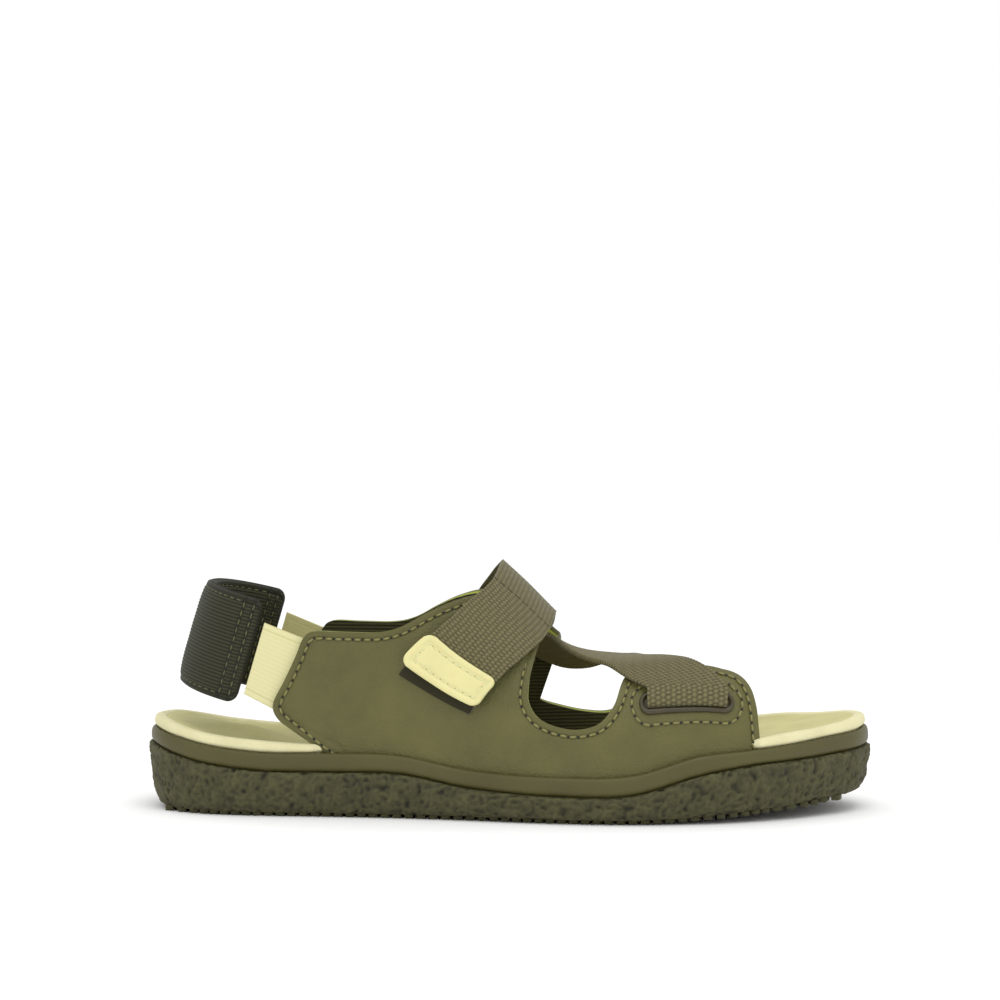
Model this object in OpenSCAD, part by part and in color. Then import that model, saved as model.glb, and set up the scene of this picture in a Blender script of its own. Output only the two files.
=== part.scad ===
/* Strappy sport sandal for the right foot.
   +X points to the toe, +Z up, and the outer side of the foot faces -Y. */

/* [Sole] */
// Length of the sole from heel to toe
sole_length = 270; // [220:1:320]
// Width of the sole across the ball of the foot
sole_width = 100; // [84:1:120]
// Height of the rand's top edge over the ground at the ball
ball_height = 17; // [14:0.5:21]
// How far the rand stands back from the outsole's side
rand_step = 0.8; // [0.4:0.1:1.5]
// Thickness of the rand's wall outside the upper
rand_wall = 2.6; // [2:0.1:4]
// Depth of the seat for the footbed and the upper, below the rand's top edge
seat_depth = 4.8; // [4:0.1:5]
// Depth of the tread grooves
groove_depth = 2; // [1:0.5:3]
// Width of the tread grooves
groove_width = 2.4; // [1.5:0.1:4]
// Distance from one tread groove to the next
groove_pitch = 10; // [7:0.5:16]

/* [Footbed] */
// Thickness of the insole board under the footbed
board_t = 1.5; // [1:0.1:2.5]
// How far the foot sinks below the footbed's rim
bed_depth = 4.5; // [3:0.5:5.5]
// Thickness of the sock that covers the footbed
sock_t = 0.8; // [0.5:0.1:1.2]

/* [Upper] */
// Height of the instep over the ground, at the strap
instep_height = 90; // [75:1:108]
// Thickness of the leather
leather_t = 1.6; // [1.2:0.1:2.2]
// Thickness of the foam between leather and lining
foam_t = 1.7; // [1.4:0.1:2.5]
// Thickness of the lining
lining_t = 0.9; // [0.6:0.1:1.4]

/* [Straps] */
// Width of the webbing
webbing_w = 29; // [24:1:33]
// Thickness of the webbing
webbing_t = 1.8; // [1.2:0.1:2.4]
// Thickness of the hook patch and of the loop patch
patch_t = 0.9; // [0.6:0.1:1.3]
// Thickness of the moulded tab over the webbing's end
tab_t = 1.6; // [1:0.1:2.5]
// Thickness of the moulded rims round the slots
rim_t = 1.2; // [0.8:0.1:2]
// Clearance round the webbing in a slot
slot_gap = 0.5; // [0.3:0.1:1]

/* [Heel strap] */
// Height of the padded heel sleeve
sleeve_h = 38; // [28:1:42]
// Thickness of the heel sleeve's padding
sleeve_pad_t = 3; // [2:0.5:5]
// Thickness of the heel sleeve's outer and lining fabric
sleeve_skin_t = 1.1; // [0.8:0.1:1.5]
// Width of the elastic
elastic_w = 26; // [20:1:27]
// Thickness of the elastic
elastic_t = 1.1; // [0.9:0.1:1.3]

/* [Hidden] */

// The lists below are drawn for a sandal of this size and follow the sizes above.
KX = sole_length / 270;
KY = sole_width / 100;
KS = ball_height / 17;
KU = instep_height / 90;
GAP = 0.1;       // between pieces of one body that lie against each other
WALL_GAP = 0.35; // between the rand's wall and the upper, which leans

// Stations from heel to toe: x, then y on the outer and the inner side,
// then the heights of the tread, the outsole's edge, the rand's edge and the footbed's rim.
STATIONS = [
    [-135,   0.0,  0.0, 0.0, 24.6, 30.2, 34.6],
    [-131, -15.5, 15.5, 0.0, 24.2, 29.8, 34.2],
    [-122, -26.0, 26.0, 0.0, 21.8, 28.0, 32.2],
    [-108, -32.5, 32.0, 0.0, 19.0, 25.4, 29.6],
    [ -87, -35.5, 33.5, 0.0, 17.0, 23.4, 27.6],
    [ -62, -36.5, 32.2, 0.0, 16.9, 23.6, 26.4],
    [ -38, -38.5, 31.0, 0.0, 16.8, 23.2, 25.4],
    [ -12, -42.5, 33.0, 0.0, 12.4, 18.6, 20.8],
    [  16, -48.0, 39.5, 0.0, 10.5, 17.0, 19.4],
    [  46, -50.0, 47.0, 0.0, 11.0, 17.7, 20.2],
    [  70, -47.5, 50.0, 1.2, 17.6, 24.4, 26.8],
    [  88, -42.0, 48.8, 2.6, 20.8, 26.2, 29.4],
    [ 104, -33.5, 44.0, 3.8, 22.0, 27.4, 31.6],
    [ 118, -22.5, 36.0, 5.0, 22.9, 29.0, 32.8],
    [ 130.5, -9.0, 25.0, 5.8, 24.0, 30.2, 34.6],
    [ 135,   8.0,  8.0, 6.2, 24.4, 31.0, 35.4]
];
TREAD = 2;   // places in a point of the outline, after x and y
EDGE = 3;
RAND = 4;
RIM = 5;
OUTLINE_STEPS = 3;

// The upper covers the sole's edge between these, and the footbed reaches out over the rand elsewhere.
UPPER_BACK = -61;
UPPER_FRONT = 91;
RIM_INSET = 1.9;     // from the outsole's side to the footbed's rim at toe and heel

// Height of the foot's back over the ground, every 20 mm from x = -100.
FOOT_TOP = [230, 200, 165, 126, 98, 78.5, 60, 55, 55.5, 56, 52, 44];
// How square the foot's section is at the ankle and at the toes
FOOT_POWER = [2.6, 3.4];

// Free edge of a quarter panel, from its rear foot round to its front foot:
// x where its fibre leaves the sole, then x and height of the edge.
QUARTER_REAR = [
    [-61, -61, 23.8],
    [-60.5, -68, 27.2],
    [-59.5, -76, 31.2],
    [-58, -82, 35.5],
    [-56, -83.8, 41.0],
    [-54, -79.8, 49.5],
    [-52, -75.6, 58.5],
    [-50, -72.9, 65.0],
    [-48, -69, 67.6],
    [-44, -58, 67.4],
    [-38, -45, 67.4],
    [-31, -37, 69.2],
    [-24, -28.5, 73.6],
    [-18, -20.5, 77.0],
    [-12, -12, 78.6],
    [ -7, -3.5, 76.8]
];
QUARTER_OUTER = concat(QUARTER_REAR, [
    [ -3, 5, 70.0],
    [  1, 10.6, 62.5],
    [  4, 10.4, 56.0],
    [  7, 9.6, 49.0],
    [ 10, 9.8, 42.6],
    [ 14, 13.4, 37.2],
    [ 19, 20, 34.0],
    [ 27, 28, 33.0],
    [ 34, 35.4, 35.0],
    [ 40, 40.6, 40.6],
    [ 45, 44.5, 48.8],
    [ 52, 53, 52.6],
    [ 61, 63, 52.8],
    [ 70, 74, 52.0],
    [ 77, 82.6, 50.4],
    [ 84, 87.4, 46.8],
    [ 88, 89.6, 41.0],
    [ 90, 90.4, 34.0],
    [ 91.5, 91, 27.0]
]);
QUARTER_INNER = concat(QUARTER_REAR, [
    [ -3, 7, 71.0],
    [  0, 15.4, 63.0],
    [  2, 17, 56.0],
    [  4, 11, 48.6],
    [  6, 7.6, 42.6],
    [ 10, 10.4, 37.4],
    [ 17, 19.6, 34.1],
    [ 26, 29.5, 32.0],
    [ 35, 38, 31.8],
    [ 44, 47, 35.4],
    [ 51, 54.5, 41.6],
    [ 58, 62, 46.0],
    [ 67, 72, 47.4],
    [ 76, 82, 45.4],
    [ 82, 87, 40.6],
    [ 86, 89.5, 34.0],
    [ 89, 91, 27.0]
]);
PANEL_ROWS = 6;

// Slots for the webbing: x and turn round the foot of the rear end, then of the front end
OUTER_SLOT = [51.4, 31, 80.2, 24.8];
INNER_SLOT = [-17.5, 141, 10.5, 141];

// Route of the webbing over the forefoot, from the outer slot to the inner one:
// x and turn round the foot of its rear edge, the same of its front edge,
// and how far it stands off the foot.
FORE_ROUTE = [
    [ 52.6, 38.5, 78.8, 32.5, 6.0],
    [ 45,   48,  75,  44,  5.4],
    [ 37.8, 58,  68.4, 57,  5.0],
    [ 30.5, 67,  60,  73,  2.8],
    [ 23.5, 78,  51,  89,  0.3],
    [ 16.5, 91,  41, 104,  0.1],
    [  9,  103,  31, 116, -2.7],
    [  1,  114,  22, 126, -3.4],
    [ -8,  126,  14, 132, -3.5],
    [-15,  134,  9.4, 135.5, -3.3]
];
// Route of the webbing back over the instep, from the inner slot to the fold.
INSTEP_ROUTE = [
    [-16, 136.5, 9, 136.5, 5.9],
    [-14, 129, 10.8, 129, 5.4],
    [-11, 117, 12.4, 117, 5.6],
    [ -9, 103, 11.8, 103, 6.8],
    [-8,   90, 11.8, 90, 7.2],
    [-7.6, 79, 12.2, 79, 6.4],
    [-7.8, 69.8, 12.6, 69.8, 5.2]
];
// Route of the flap, from the fold to its end on the outer side.
FLAP_ROUTE = [
    [ -7.9, 68.8, 12.5, 68.8, 5.2],
    [ -9.8, 60,  12, 63, 5.1],
    [-12.6, 52,  11, 56, 5.4],
    [-15.8, 44.8, 8.6, 46.8, 6.0],
    [-18.8, 38.4, 5.7, 39, 6.4],
    [-22,  33.2,  2.4, 32.8, 6.5],
    [-25.3, 28.4, -1, 27, 6.5],
    [-30.5, 22.2, -4.8, 21.4, 6.5],
    [-35.6, 16.4, -8.3, 16, 6.5]
];

// Plan of the heel strap's middle line: a half ellipse behind the ankle.
HEEL_X = -93.8;
HEEL_Y = -1;
HEEL_A = 22.5;
HEEL_B = 29;
HEEL_END = 93;       // turn from the rear at which the sleeve ends
HEEL_Z = 66.1;       // height of the sleeve's middle at the rear
HEEL_FALL = 0.26;    // how much it falls for each millimetre forward
HEEL_LEAN = 0.29;    // how much its top leans forward
ELASTIC_BACK = [-91.4, 57.8];    // x and height of the elastic's middle at the sleeve
ELASTIC_FRONT = [-78.8, 52.1];   // the same at the quarter
ELASTIC_LEAN = 0.42;             // how much its edge at the quarter leans forward

/* Curves and solids from rings and grids */
function mix(a, b, t) = a + (b - a) * t;
function unit(v) = v / norm(v);
function between(x, lo, hi) = min(max(x, lo), hi);

// Smooth curve through p1 and p2, with p0 before and p3 after
function bend(p0, p1, p2, p3, t) =
    0.5 * (2 * p1 + (p2 - p0) * t + (2 * p0 - 5 * p1 + 4 * p2 - p3) * t * t
           + (3 * p1 - p0 - 3 * p2 + p3) * t * t * t);
function closed_curve(c, steps) = let (n = len(c))
    [for (i = [0 : n - 1]) for (j = [0 : steps - 1])
        bend(c[(i + n - 1) % n], c[i], c[(i + 1) % n], c[(i + 2) % n], j / steps)];
function open_curve(c, steps) = let (n = len(c))
    [for (i = [0 : n - 2]) for (j = [0 : steps - 1])
        bend(c[max(i - 1, 0)], c[i], c[i + 1], c[min(i + 2, n - 1)], j / steps),
     c[n - 1]];
// Smooth value at x of a list with one value every step from x0
function smooth_at(list, x, x0, step) =
    let (u = between((x - x0) / step, 0, len(list) - 1.001), i = floor(u), last = len(list) - 1)
    bend(list[max(i - 1, 0)], list[i], list[i + 1], list[min(i + 2, last)], u - i);

// Solid skin over a stack of rings with the same number of points, closed across each end ring
module ring_stack(rings) {
    n = len(rings[0]);
    half = n / 2;
    top = (len(rings) - 1) * n;
    points = [for (r = rings) each r];
    sides = [for (r = [0 : len(rings) - 2]) for (i = [0 : n - 1])
        let (a = r * n + i, b = r * n + (i + 1) % n) each [[a + n, b + n, b], [a + n, b, a]]];
    across = [for (i = [0 : half - 1]) let (a = i, b = i + 1, c = (n - i - 1) % n, d = (n - i) % n)
        each [if (b != c) [a, b, c], if (a != d) [a, c, d]]];
    lid = [for (f = across) [top + f[0], top + f[2], top + f[1]]];
    polyhedron(points, concat(sides, across, lid));
}

// Solid between two grids of points, the outer one first
module grid_solid(outer, inner) {
    nu = len(outer);
    nv = len(outer[0]);
    n = nu * nv;
    points = concat([for (c = outer) each c], [for (c = inner) each c]);
    cells = [for (i = [0 : nu - 2]) for (j = [0 : nv - 2])
        let (a = i * nv + j, b = a + nv) each [[a, a + 1, b + 1], [a, b + 1, b]]];
    back = [for (f = cells) [f[2] + n, f[1] + n, f[0] + n]];
    // the free edges in one run round the grid
    rim = concat([for (i = [0 : nu - 1]) i * nv],
                 [for (j = [1 : nv - 1]) (nu - 1) * nv + j],
                 [for (i = [nu - 2 : -1 : 0]) i * nv + nv - 1],
                 [for (j = [nv - 2 : -1 : 1]) j]);
    m = len(rim);
    edge = [for (k = [0 : m - 1]) let (a = rim[k], b = rim[(k + 1) % m])
        each [[a, b, b + n], [a, b + n, a + n]]];
    polyhedron(points, concat(edge, cells, back));
}

/* Sole */
OUTLINE = closed_curve(concat(
    [for (s = STATIONS) [s[0] * KX, s[1] * KY, s[3] * KS, s[4] * KS, s[5] * KS, s[6] * KS]],
    [for (i = [len(STATIONS) - 2 : -1 : 1]) let (s = STATIONS[i])
        [s[0] * KX, s[2] * KY, s[3] * KS, s[4] * KS, s[5] * KS, s[6] * KS]]), OUTLINE_STEPS);
ROUND = len(OUTLINE);
HALF = ROUND / 2;

function inward(i) =
    let (a = OUTLINE[(i + ROUND - 1) % ROUND], b = OUTLINE[(i + 1) % ROUND], t = unit([b[0] - a[0], b[1] - a[1]]))
    [-t[1], t[0]];
// Middle of the sole opposite point i, drawn in from toe and heel
function middle(i) = let (a = OUTLINE[i], b = OUTLINE[(ROUND - i) % ROUND])
    [a[0] * 0.7, (a[1] + b[1]) / 2 * 0.7];
// Point i of a ring: inset from the side, moved towards the middle by the share f
function ring_xy(i, inset, f = 0) =
    mix([OUTLINE[i][0], OUTLINE[i][1]] + inset * inward(i), middle(i), f);
function height(i, line) = OUTLINE[i][line];

// Share of the upper at point i: 1 where it covers the edge, 0 at toe and heel
function covered(i) = let (x = OUTLINE[i][0] / KX)
    between((x - UPPER_BACK + 20) / 12, 0, 1) * between((UPPER_FRONT + 10 - x) / 7, 0, 1);

WALL_IN = rand_step + rand_wall;             // inset of the rand's inner wall
STACK = leather_t + foam_t + lining_t;
UPPER_IN = WALL_IN + WALL_GAP + STACK;            // inset of the lining's inner face at the sole
BED_GAP = 0.5;       // between the footbed and the upper
BED_IN = UPPER_IN + BED_GAP;                   // inset of the footbed beside the upper

function seat_ring(inset_out, inset_mid, line, up, f = 0) =
    [for (i = [0 : ROUND - 1]) let (p = ring_xy(i, mix(inset_out, inset_mid, covered(i)), f))
        [p[0], p[1], height(i, line) + up]];
function plain_ring(inset, line, up) = seat_ring(inset, inset, line, up);
function mid_ring(inset, line_a, line_b, t) =
    [for (i = [0 : ROUND - 1]) let (p = ring_xy(i, inset))
        [p[0], p[1], mix(height(i, line_a), height(i, line_b), t)]];

module outsole() {
    color("#47452a") difference() {
        ring_stack([
            plain_ring(8, TREAD, 0),
            plain_ring(4.2, TREAD, 1.2),
            mid_ring(1.7, TREAD, EDGE, 0.28),
            mid_ring(0.5, TREAD, EDGE, 0.6),
            plain_ring(0, EDGE, -1.2),
            plain_ring(rand_step, EDGE, 0)]);
        for (x = [-11 * groove_pitch : groove_pitch : 4.5 * groove_pitch])
            translate([x * KX, -sole_width, -1])
                cube([groove_width, 2 * sole_width, 1 + groove_depth]);
    }
}

module rand() {
    color("#625e39") ring_stack([
        plain_ring(rand_step, EDGE, 0),
        mid_ring(rand_step - 0.2, EDGE, RAND, 0.25),
        mid_ring(rand_step - 0.1, EDGE, RAND, 0.75),
        plain_ring(rand_step + 0.5, RAND, -0.5),
        plain_ring(rand_step + 1.4, RAND, 0),
        plain_ring(WALL_IN - 0.1, RAND, -0.3),
        plain_ring(WALL_IN, RAND, -seat_depth)]);
}

module insole_board() {
    color("#b9a67c") ring_stack([
        seat_ring(WALL_IN + GAP, BED_IN + 0.3, RAND, WALL_GAP - seat_depth),
        seat_ring(WALL_IN + GAP, BED_IN + 0.3, RAND, board_t - seat_depth)]);
}

RIM_W = 4.4;     // width of the footbed's plain rim
BOWL = [[0.5, 0.2], [0.8, 0.55], [1, 0.85]];  // share of the depth, share of the way to the middle

module footbed() {
    color("#e0dab0") ring_stack(concat([
        seat_ring(WALL_IN + GAP, BED_IN + 0.3, RAND, board_t + GAP - seat_depth),
        seat_ring(WALL_IN + GAP, BED_IN + 0.3, RAND, GAP),
        seat_ring(RIM_INSET + 0.2, BED_IN, RAND, GAP + 0.05),
        seat_ring(RIM_INSET, BED_IN + 0.1, RIM, -1.4),
        seat_ring(RIM_INSET + 0.7, BED_IN + 0.6, RIM, -0.4),
        seat_ring(RIM_INSET + 1.9, BED_IN + 1.4, RIM, 0),
        seat_ring(RIM_INSET + RIM_W, BED_IN + RIM_W - 1, RIM, -0.5),
        seat_ring(RIM_INSET + RIM_W + 0.2, BED_IN + RIM_W - 0.8, RIM, -0.5 - GAP - sock_t)],
        [for (b = BOWL) seat_ring(RIM_INSET + RIM_W + 1, BED_IN + RIM_W, RIM, -GAP - sock_t - bed_depth * b[0], b[1])]));
}

module footbed_sock() {
    color("#d2cc97") ring_stack(concat(
        [for (k = [2 : -1 : 0]) let (b = BOWL[k])
            seat_ring(RIM_INSET + RIM_W + 1, BED_IN + RIM_W, RIM, -sock_t - bed_depth * b[0], b[1])],
        [seat_ring(RIM_INSET + RIM_W + 0.2, BED_IN + RIM_W - 0.8, RIM, -0.5 - sock_t),
         seat_ring(RIM_INSET + RIM_W + 0.2, BED_IN + RIM_W - 0.8, RIM, -0.6)],
        [for (b = BOWL) seat_ring(RIM_INSET + RIM_W + 1, BED_IN + RIM_W, RIM, -bed_depth * b[0], b[1])]));
}

/* The foot's surface, which the upper follows */
OUTER_SIDE = [for (i = [0 : HALF]) let (p = ring_xy(i, UPPER_IN)) [p[0], -p[1]]];
INNER_SIDE = [for (i = [0 : HALF]) ring_xy((ROUND - i) % ROUND, UPPER_IN)];
SEAT = [for (i = [0 : HALF]) [OUTLINE[i][0], OUTLINE[i][RAND] - seat_depth + 0.3]];

function foot_rise(x) = KU * smooth_at(FOOT_TOP, x / KX, -100, 20) - lookup(x, SEAT);
function foot_power(x) = mix(FOOT_POWER[0], FOOT_POWER[1], between(x / KX / 60, 0, 1));
// Point at x and at the turn a round the foot: 0 is the outer side, 90 the top, 180 the inner side
function foot(x, a) =
    let (c = cos(a), e = 2 / foot_power(x), w = c > 0 ? -lookup(x, OUTER_SIDE) : lookup(x, INNER_SIDE))
    [x, w * pow(abs(c), e), lookup(x, SEAT) + foot_rise(x) * pow(max(sin(a), 0), e)];
function foot_normal(x, a) = let (b = between(a, 9, 171))
    unit(cross(foot(x + 5, b) - foot(x - 5, b), foot(x, b + 4) - foot(x, b - 4)));
// The same point moved out from the foot by d
function off_foot(x, a, d) = foot(x, a) + d * foot_normal(x, a);
// Turn at which the foot's surface has the height z
function turn_at(x, z) =
    asin(pow(between((z - lookup(x, SEAT)) / foot_rise(x), 0, 0.975), foot_power(x) / 2));

/* Quarter panels: fibres that run from the sole to the free edge */
// side is 1 for the outer panel and -1 for the inner one
function panel_grid(edge, side, d) =
    let (cols = open_curve(edge, 2), n = len(cols))
    [for (k = [0 : n - 1]) let (c = cols[side > 0 ? k : n - 1 - k])
        [for (j = [0 : PANEL_ROWS]) let (v = j / PANEL_ROWS, x0 = c[0] * KX,
                x = mix(x0, c[1] * KX, v), z = mix(lookup(x0, SEAT), c[2] * KU, v), a = turn_at(x, z))
            off_foot(x, side > 0 ? a : 180 - a, d)]];
module panel(edge, side, d, t) {
    grid_solid(panel_grid(edge, side, d + t), panel_grid(edge, side, d));
}
// The foam stops short of the rear edge, where the elastic lies between leather and lining
POCKET_X = -65.5;
POCKET_SQUEEZE = 0.1;
function foam_edge(edge) =
    [for (c = edge) [c[0] < -50 ? mix(-50, c[0], 0.8) : c[0], c[1] < POCKET_X ? mix(POCKET_X, c[1], POCKET_SQUEEZE) : c[1],
                     c[1] < -60 && c[2] < 45 ? c[2] + 1 : c[2]]];

// Widths of the slots: the webbing goes straight up through the outer one and round in the inner one
LIFT_ROOM = 0.6;     // more room where the webbing leans over the outer frame
TURN_ROOM = 1.9;     // more room where the webbing turns in the inner slot
OUTER_SLOT_T = webbing_t + 2 * slot_gap + LIFT_ROOM;
INNER_SLOT_T = webbing_t + 2 * slot_gap + TURN_ROOM;
function slot_end(slot, k) = foot(slot[2 * k] * KX, slot[2 * k + 1]);
// Box through all the layers of a panel at a slot
module slot_cut(slot, width) {
    x = (slot[0] + slot[2]) / 2 * KX;
    a = (slot[1] + slot[3]) / 2;
    along = slot_end(slot, 1) - slot_end(slot, 0);
    ux = unit(along);
    uy = unit(cross(foot_normal(x, a), ux));
    uz = cross(ux, uy);
    c = foot(x, a);
    size = [norm(along), width, STACK + 8];
    multmatrix([[ux[0], uy[0], uz[0], c[0]], [ux[1], uy[1], uz[1], c[1]], [ux[2], uy[2], uz[2], c[2]]])
        translate([-size[0] / 2, -size[1] / 2, -4]) cube(size);
}

module quarter_outer_leather() {
    color("#74703f") difference() {
        panel(QUARTER_OUTER, 1, lining_t + foam_t, leather_t);
        slot_cut(OUTER_SLOT, OUTER_SLOT_T);
    }
}
module quarter_outer_foam() {
    color("#8d9a2a") difference() {
        panel(foam_edge(QUARTER_OUTER), 1, lining_t, foam_t);
        slot_cut(OUTER_SLOT, OUTER_SLOT_T);
    }
}
module quarter_outer_lining() {
    color("#3c3a1f") difference() {
        panel(QUARTER_OUTER, 1, 0, lining_t);
        slot_cut(OUTER_SLOT, OUTER_SLOT_T);
    }
}
module quarter_inner_leather() {
    color("#74703f") difference() {
        panel(QUARTER_INNER, -1, lining_t + foam_t, leather_t);
        slot_cut(INNER_SLOT, INNER_SLOT_T);
    }
}
module quarter_inner_foam() {
    color("#8d9a2a") difference() {
        panel(foam_edge(QUARTER_INNER), -1, lining_t, foam_t);
        slot_cut(INNER_SLOT, INNER_SLOT_T);
    }
}
module quarter_inner_lining() {
    color("#3c3a1f") difference() {
        panel(QUARTER_INNER, -1, 0, lining_t);
        slot_cut(INNER_SLOT, INNER_SLOT_T);
    }
}

/* Slot rims: moulded frames on the leather, with round ends */
RIM_SIDE = 2.2;      // width of the frame beside the slot
RIM_END = 2.4;       // length of the frame beyond each end of the slot
function slot_pitch(slot) = let (x = (slot[0] + slot[2]) / 2 * KX, a = (slot[1] + slot[3]) / 2)
    norm(foot(x, a + 1) - foot(x, a - 1)) / 2;      // millimetres to a degree of turn at a slot
function rim_grid(slot, width, d) =
    let (half = (width / 2 + RIM_SIDE) / slot_pitch(slot), x0 = slot[0] * KX - RIM_END, x1 = slot[2] * KX + RIM_END)
    [for (i = [0 : 16])
        let (u = -cos(i * 180 / 16), w = half * pow(max(1 - pow(abs(u), 8), 0.04), 0.5), t = (u + 1) / 2)
        [for (j = [-1 : 1]) off_foot(mix(x0, x1, t), mix(slot[1], slot[3], t) + j * w, d)]];
module slot_rim(slot, width) {
    difference() {
        grid_solid(rim_grid(slot, width, RIM_TOP), rim_grid(slot, width, STACK + GAP));
        slot_cut(slot, width);
    }
}
module slot_rim_outer() {
    color("#54492f") slot_rim(OUTER_SLOT, OUTER_SLOT_T);
}
module slot_rim_inner() {
    color("#54492f") slot_rim(INNER_SLOT, INNER_SLOT_T);
}

/* Webbing */
// Row of points across the webbing, from its rear edge to its front edge
function across(r, d) = let (k = webbing_w / 29, xm = (r[0] + r[2]) / 2, am = (r[1] + r[3]) / 2)
    [for (j = [-1 : 0.5 : 1]) off_foot((xm + j * k * (r[2] - r[0]) / 2) * KX,
                                       am + j * k * (r[3] - r[1]) / 2, d)];
function route_rows(route, d) = [for (r = open_curve(route, 2)) across(r, r[4] + d)];
function reversed(list) = [for (i = [len(list) - 1 : -1 : 0]) list[i]];

// Row through a slot: d off the foot, v millimetres round from the slot's middle
function slot_row(slot, v, d) = let (a = v / slot_pitch(slot))
    across([slot[0] + 1.2, slot[1] + a, slot[2] - 1.4, slot[3] + a], d);
// Turn up out of the outer slot and over its rim: how far round from the slot's middle, in thicknesses
// of the webbing, and how far over the rim, for the webbing's top and for its underside
ROOT_TURN = [[[-0.5, -3.9], [0.5, -3.9]], [[-0.5, -0.4], [0.5, -0.9]], [[-0.3, 1.3], [0.6, 0.08]], [[0.6, 2.2], [1.1, 0.4]]];
RIM_TOP = STACK + GAP + rim_t;
// Turn round the bar between the inner slot and the panel's free edge, and round its rim
TURN_R = (RIM_TOP + GAP) / 2 + 0.2;
function turn_rows(r) = [for (s = [-70 : 35 : 70])
    slot_row(INNER_SLOT, r * cos(s) - TURN_R * 0.68 - webbing_t / 2, RIM_TOP / 2 + r * sin(s))];

WEB_TOP = concat(
    [for (r = ROOT_TURN) slot_row(OUTER_SLOT, r[0][0] * webbing_t, RIM_TOP + r[0][1])],
    route_rows(FORE_ROUTE, webbing_t),
    turn_rows(TURN_R),
    route_rows(INSTEP_ROUTE, 0));
WEB_UNDER = concat(
    [for (r = ROOT_TURN) slot_row(OUTER_SLOT, r[1][0] * webbing_t, RIM_TOP + r[1][1])],
    route_rows(FORE_ROUTE, 0),
    turn_rows(TURN_R + webbing_t),
    route_rows(INSTEP_ROUTE, webbing_t));

module webbing() {
    color("#7b7452") grid_solid(reversed(WEB_TOP), reversed(WEB_UNDER));
}
module webbing_flap() {
    color("#7b7452") grid_solid(route_rows(FLAP_ROUTE, webbing_t), route_rows(FLAP_ROUTE, 0));
}

// Part of the flap's route from row k0 to row k1, made wider by e at each side
function part_rows(k0, k1, e, d) = let (rows = open_curve(FLAP_ROUTE, 2))
    [for (k = [k0 : k1]) across(rows[k] + [-e, 0, e, 0, 0], rows[k][4] + d)];
// The loop patch reaches a little past the flap's end
LOOP_ROUTE = concat(FLAP_ROUTE, [[-38.2, 13.5, -10, 13.4, 6.5]]);
function part_on_leather(k0, k1, e, d) = let (rows = open_curve(LOOP_ROUTE, 2))
    [for (k = [k0 : k1]) across(rows[k] + [-e, 0, e, 0, 0], d)];

module hook_patch() {
    color("#4a4632") grid_solid(part_rows(8, 16, -1.5, -GAP), part_rows(8, 16, -1.5, -GAP - patch_t));
}
module loop_patch() {
    color("#55502f")
        grid_solid(part_on_leather(6, 18, -1, STACK + GAP + patch_t), part_on_leather(6, 18, -1, STACK + GAP));
}
module strap_tab() {
    color("#efeabc")
        grid_solid(part_rows(12, 16, 0.8, webbing_t + GAP + tab_t), part_rows(12, 16, 0.8, webbing_t + GAP));
}

/* Heel strap */
// Point of the heel strap at the turn p from the rear, height v over its middle, d out from its middle
function heel(p, v, d) =
    let (x = HEEL_X - (HEEL_A + d) * cos(p), y = HEEL_Y + (HEEL_B + d) * sin(p),
         z = HEEL_Z - HEEL_FALL * (x - HEEL_X + HEEL_A))
    [x * KX + HEEL_LEAN * v, y * KY, z * KU + v];
function heel_grid(h, d, e = 0) =
    [for (i = [0 : 24]) let (p = mix(HEEL_END - e, e - HEEL_END, i / 24))
        [for (j = [-1 : 0.5 : 1]) heel(p, j * h / 2, d)]];
SLEEVE_IN = -sleeve_pad_t / 2;
module sleeve_padding() {
    color("#2b2c1b") grid_solid(heel_grid(sleeve_h - 2, sleeve_pad_t / 2 - GAP, 3), heel_grid(sleeve_h - 2, SLEEVE_IN + GAP, 3));
}
module sleeve_shell() {
    color("#35361f") grid_solid(heel_grid(sleeve_h, sleeve_pad_t / 2 + sleeve_skin_t), heel_grid(sleeve_h, sleeve_pad_t / 2));
}
module sleeve_lining() {
    color("#3a3a22") grid_solid(heel_grid(sleeve_h, SLEEVE_IN), heel_grid(sleeve_h, SLEEVE_IN - sleeve_skin_t));
}

// The elastic runs from the sleeve's end into the pocket behind the leather
POCKET_IN = [0.08, -0.03];   // from the lining to the elastic, measured at the sole, outer side first
ELASTIC_CANT = [0.005, 0.038];    // how much the elastic's top leans in, as the quarter does, outer side first
function elastic_y(side, u) =
    let (x = ELASTIC_FRONT[0] * KX, d = lining_t + elastic_t / 2 + POCKET_IN[side > 0 ? 0 : 1],
         front = side > 0 ? -lookup(x, OUTER_SIDE) - d : lookup(x, INNER_SIDE) + d,
         back = (HEEL_Y - side * HEEL_B) * KY)
    mix(back, front, between(u, 0, 1));
function elastic_grid(side, d) =
    [for (i = [0 : 4]) let (k = side > 0 ? i : 4 - i, u = mix(0.02, 1.04, k / 4),
            mid = mix(ELASTIC_BACK, ELASTIC_FRONT, u), y = elastic_y(side, u) - side * d)
        [for (j = [-1 : 1]) let (v = j * elastic_w / 2)
            [mid[0] * KX + v * mix(HEEL_LEAN, ELASTIC_LEAN, u), y + side * v * ELASTIC_CANT[side > 0 ? 0 : 1], mid[1] * KU + v]]];
module elastic(side) {
    grid_solid(elastic_grid(side, elastic_t / 2), elastic_grid(side, -elastic_t / 2));
}
module elastic_outer() {
    color("#e9e5b8") elastic(1);
}
module elastic_inner() {
    color("#e9e5b8") elastic(-1);
}

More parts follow.
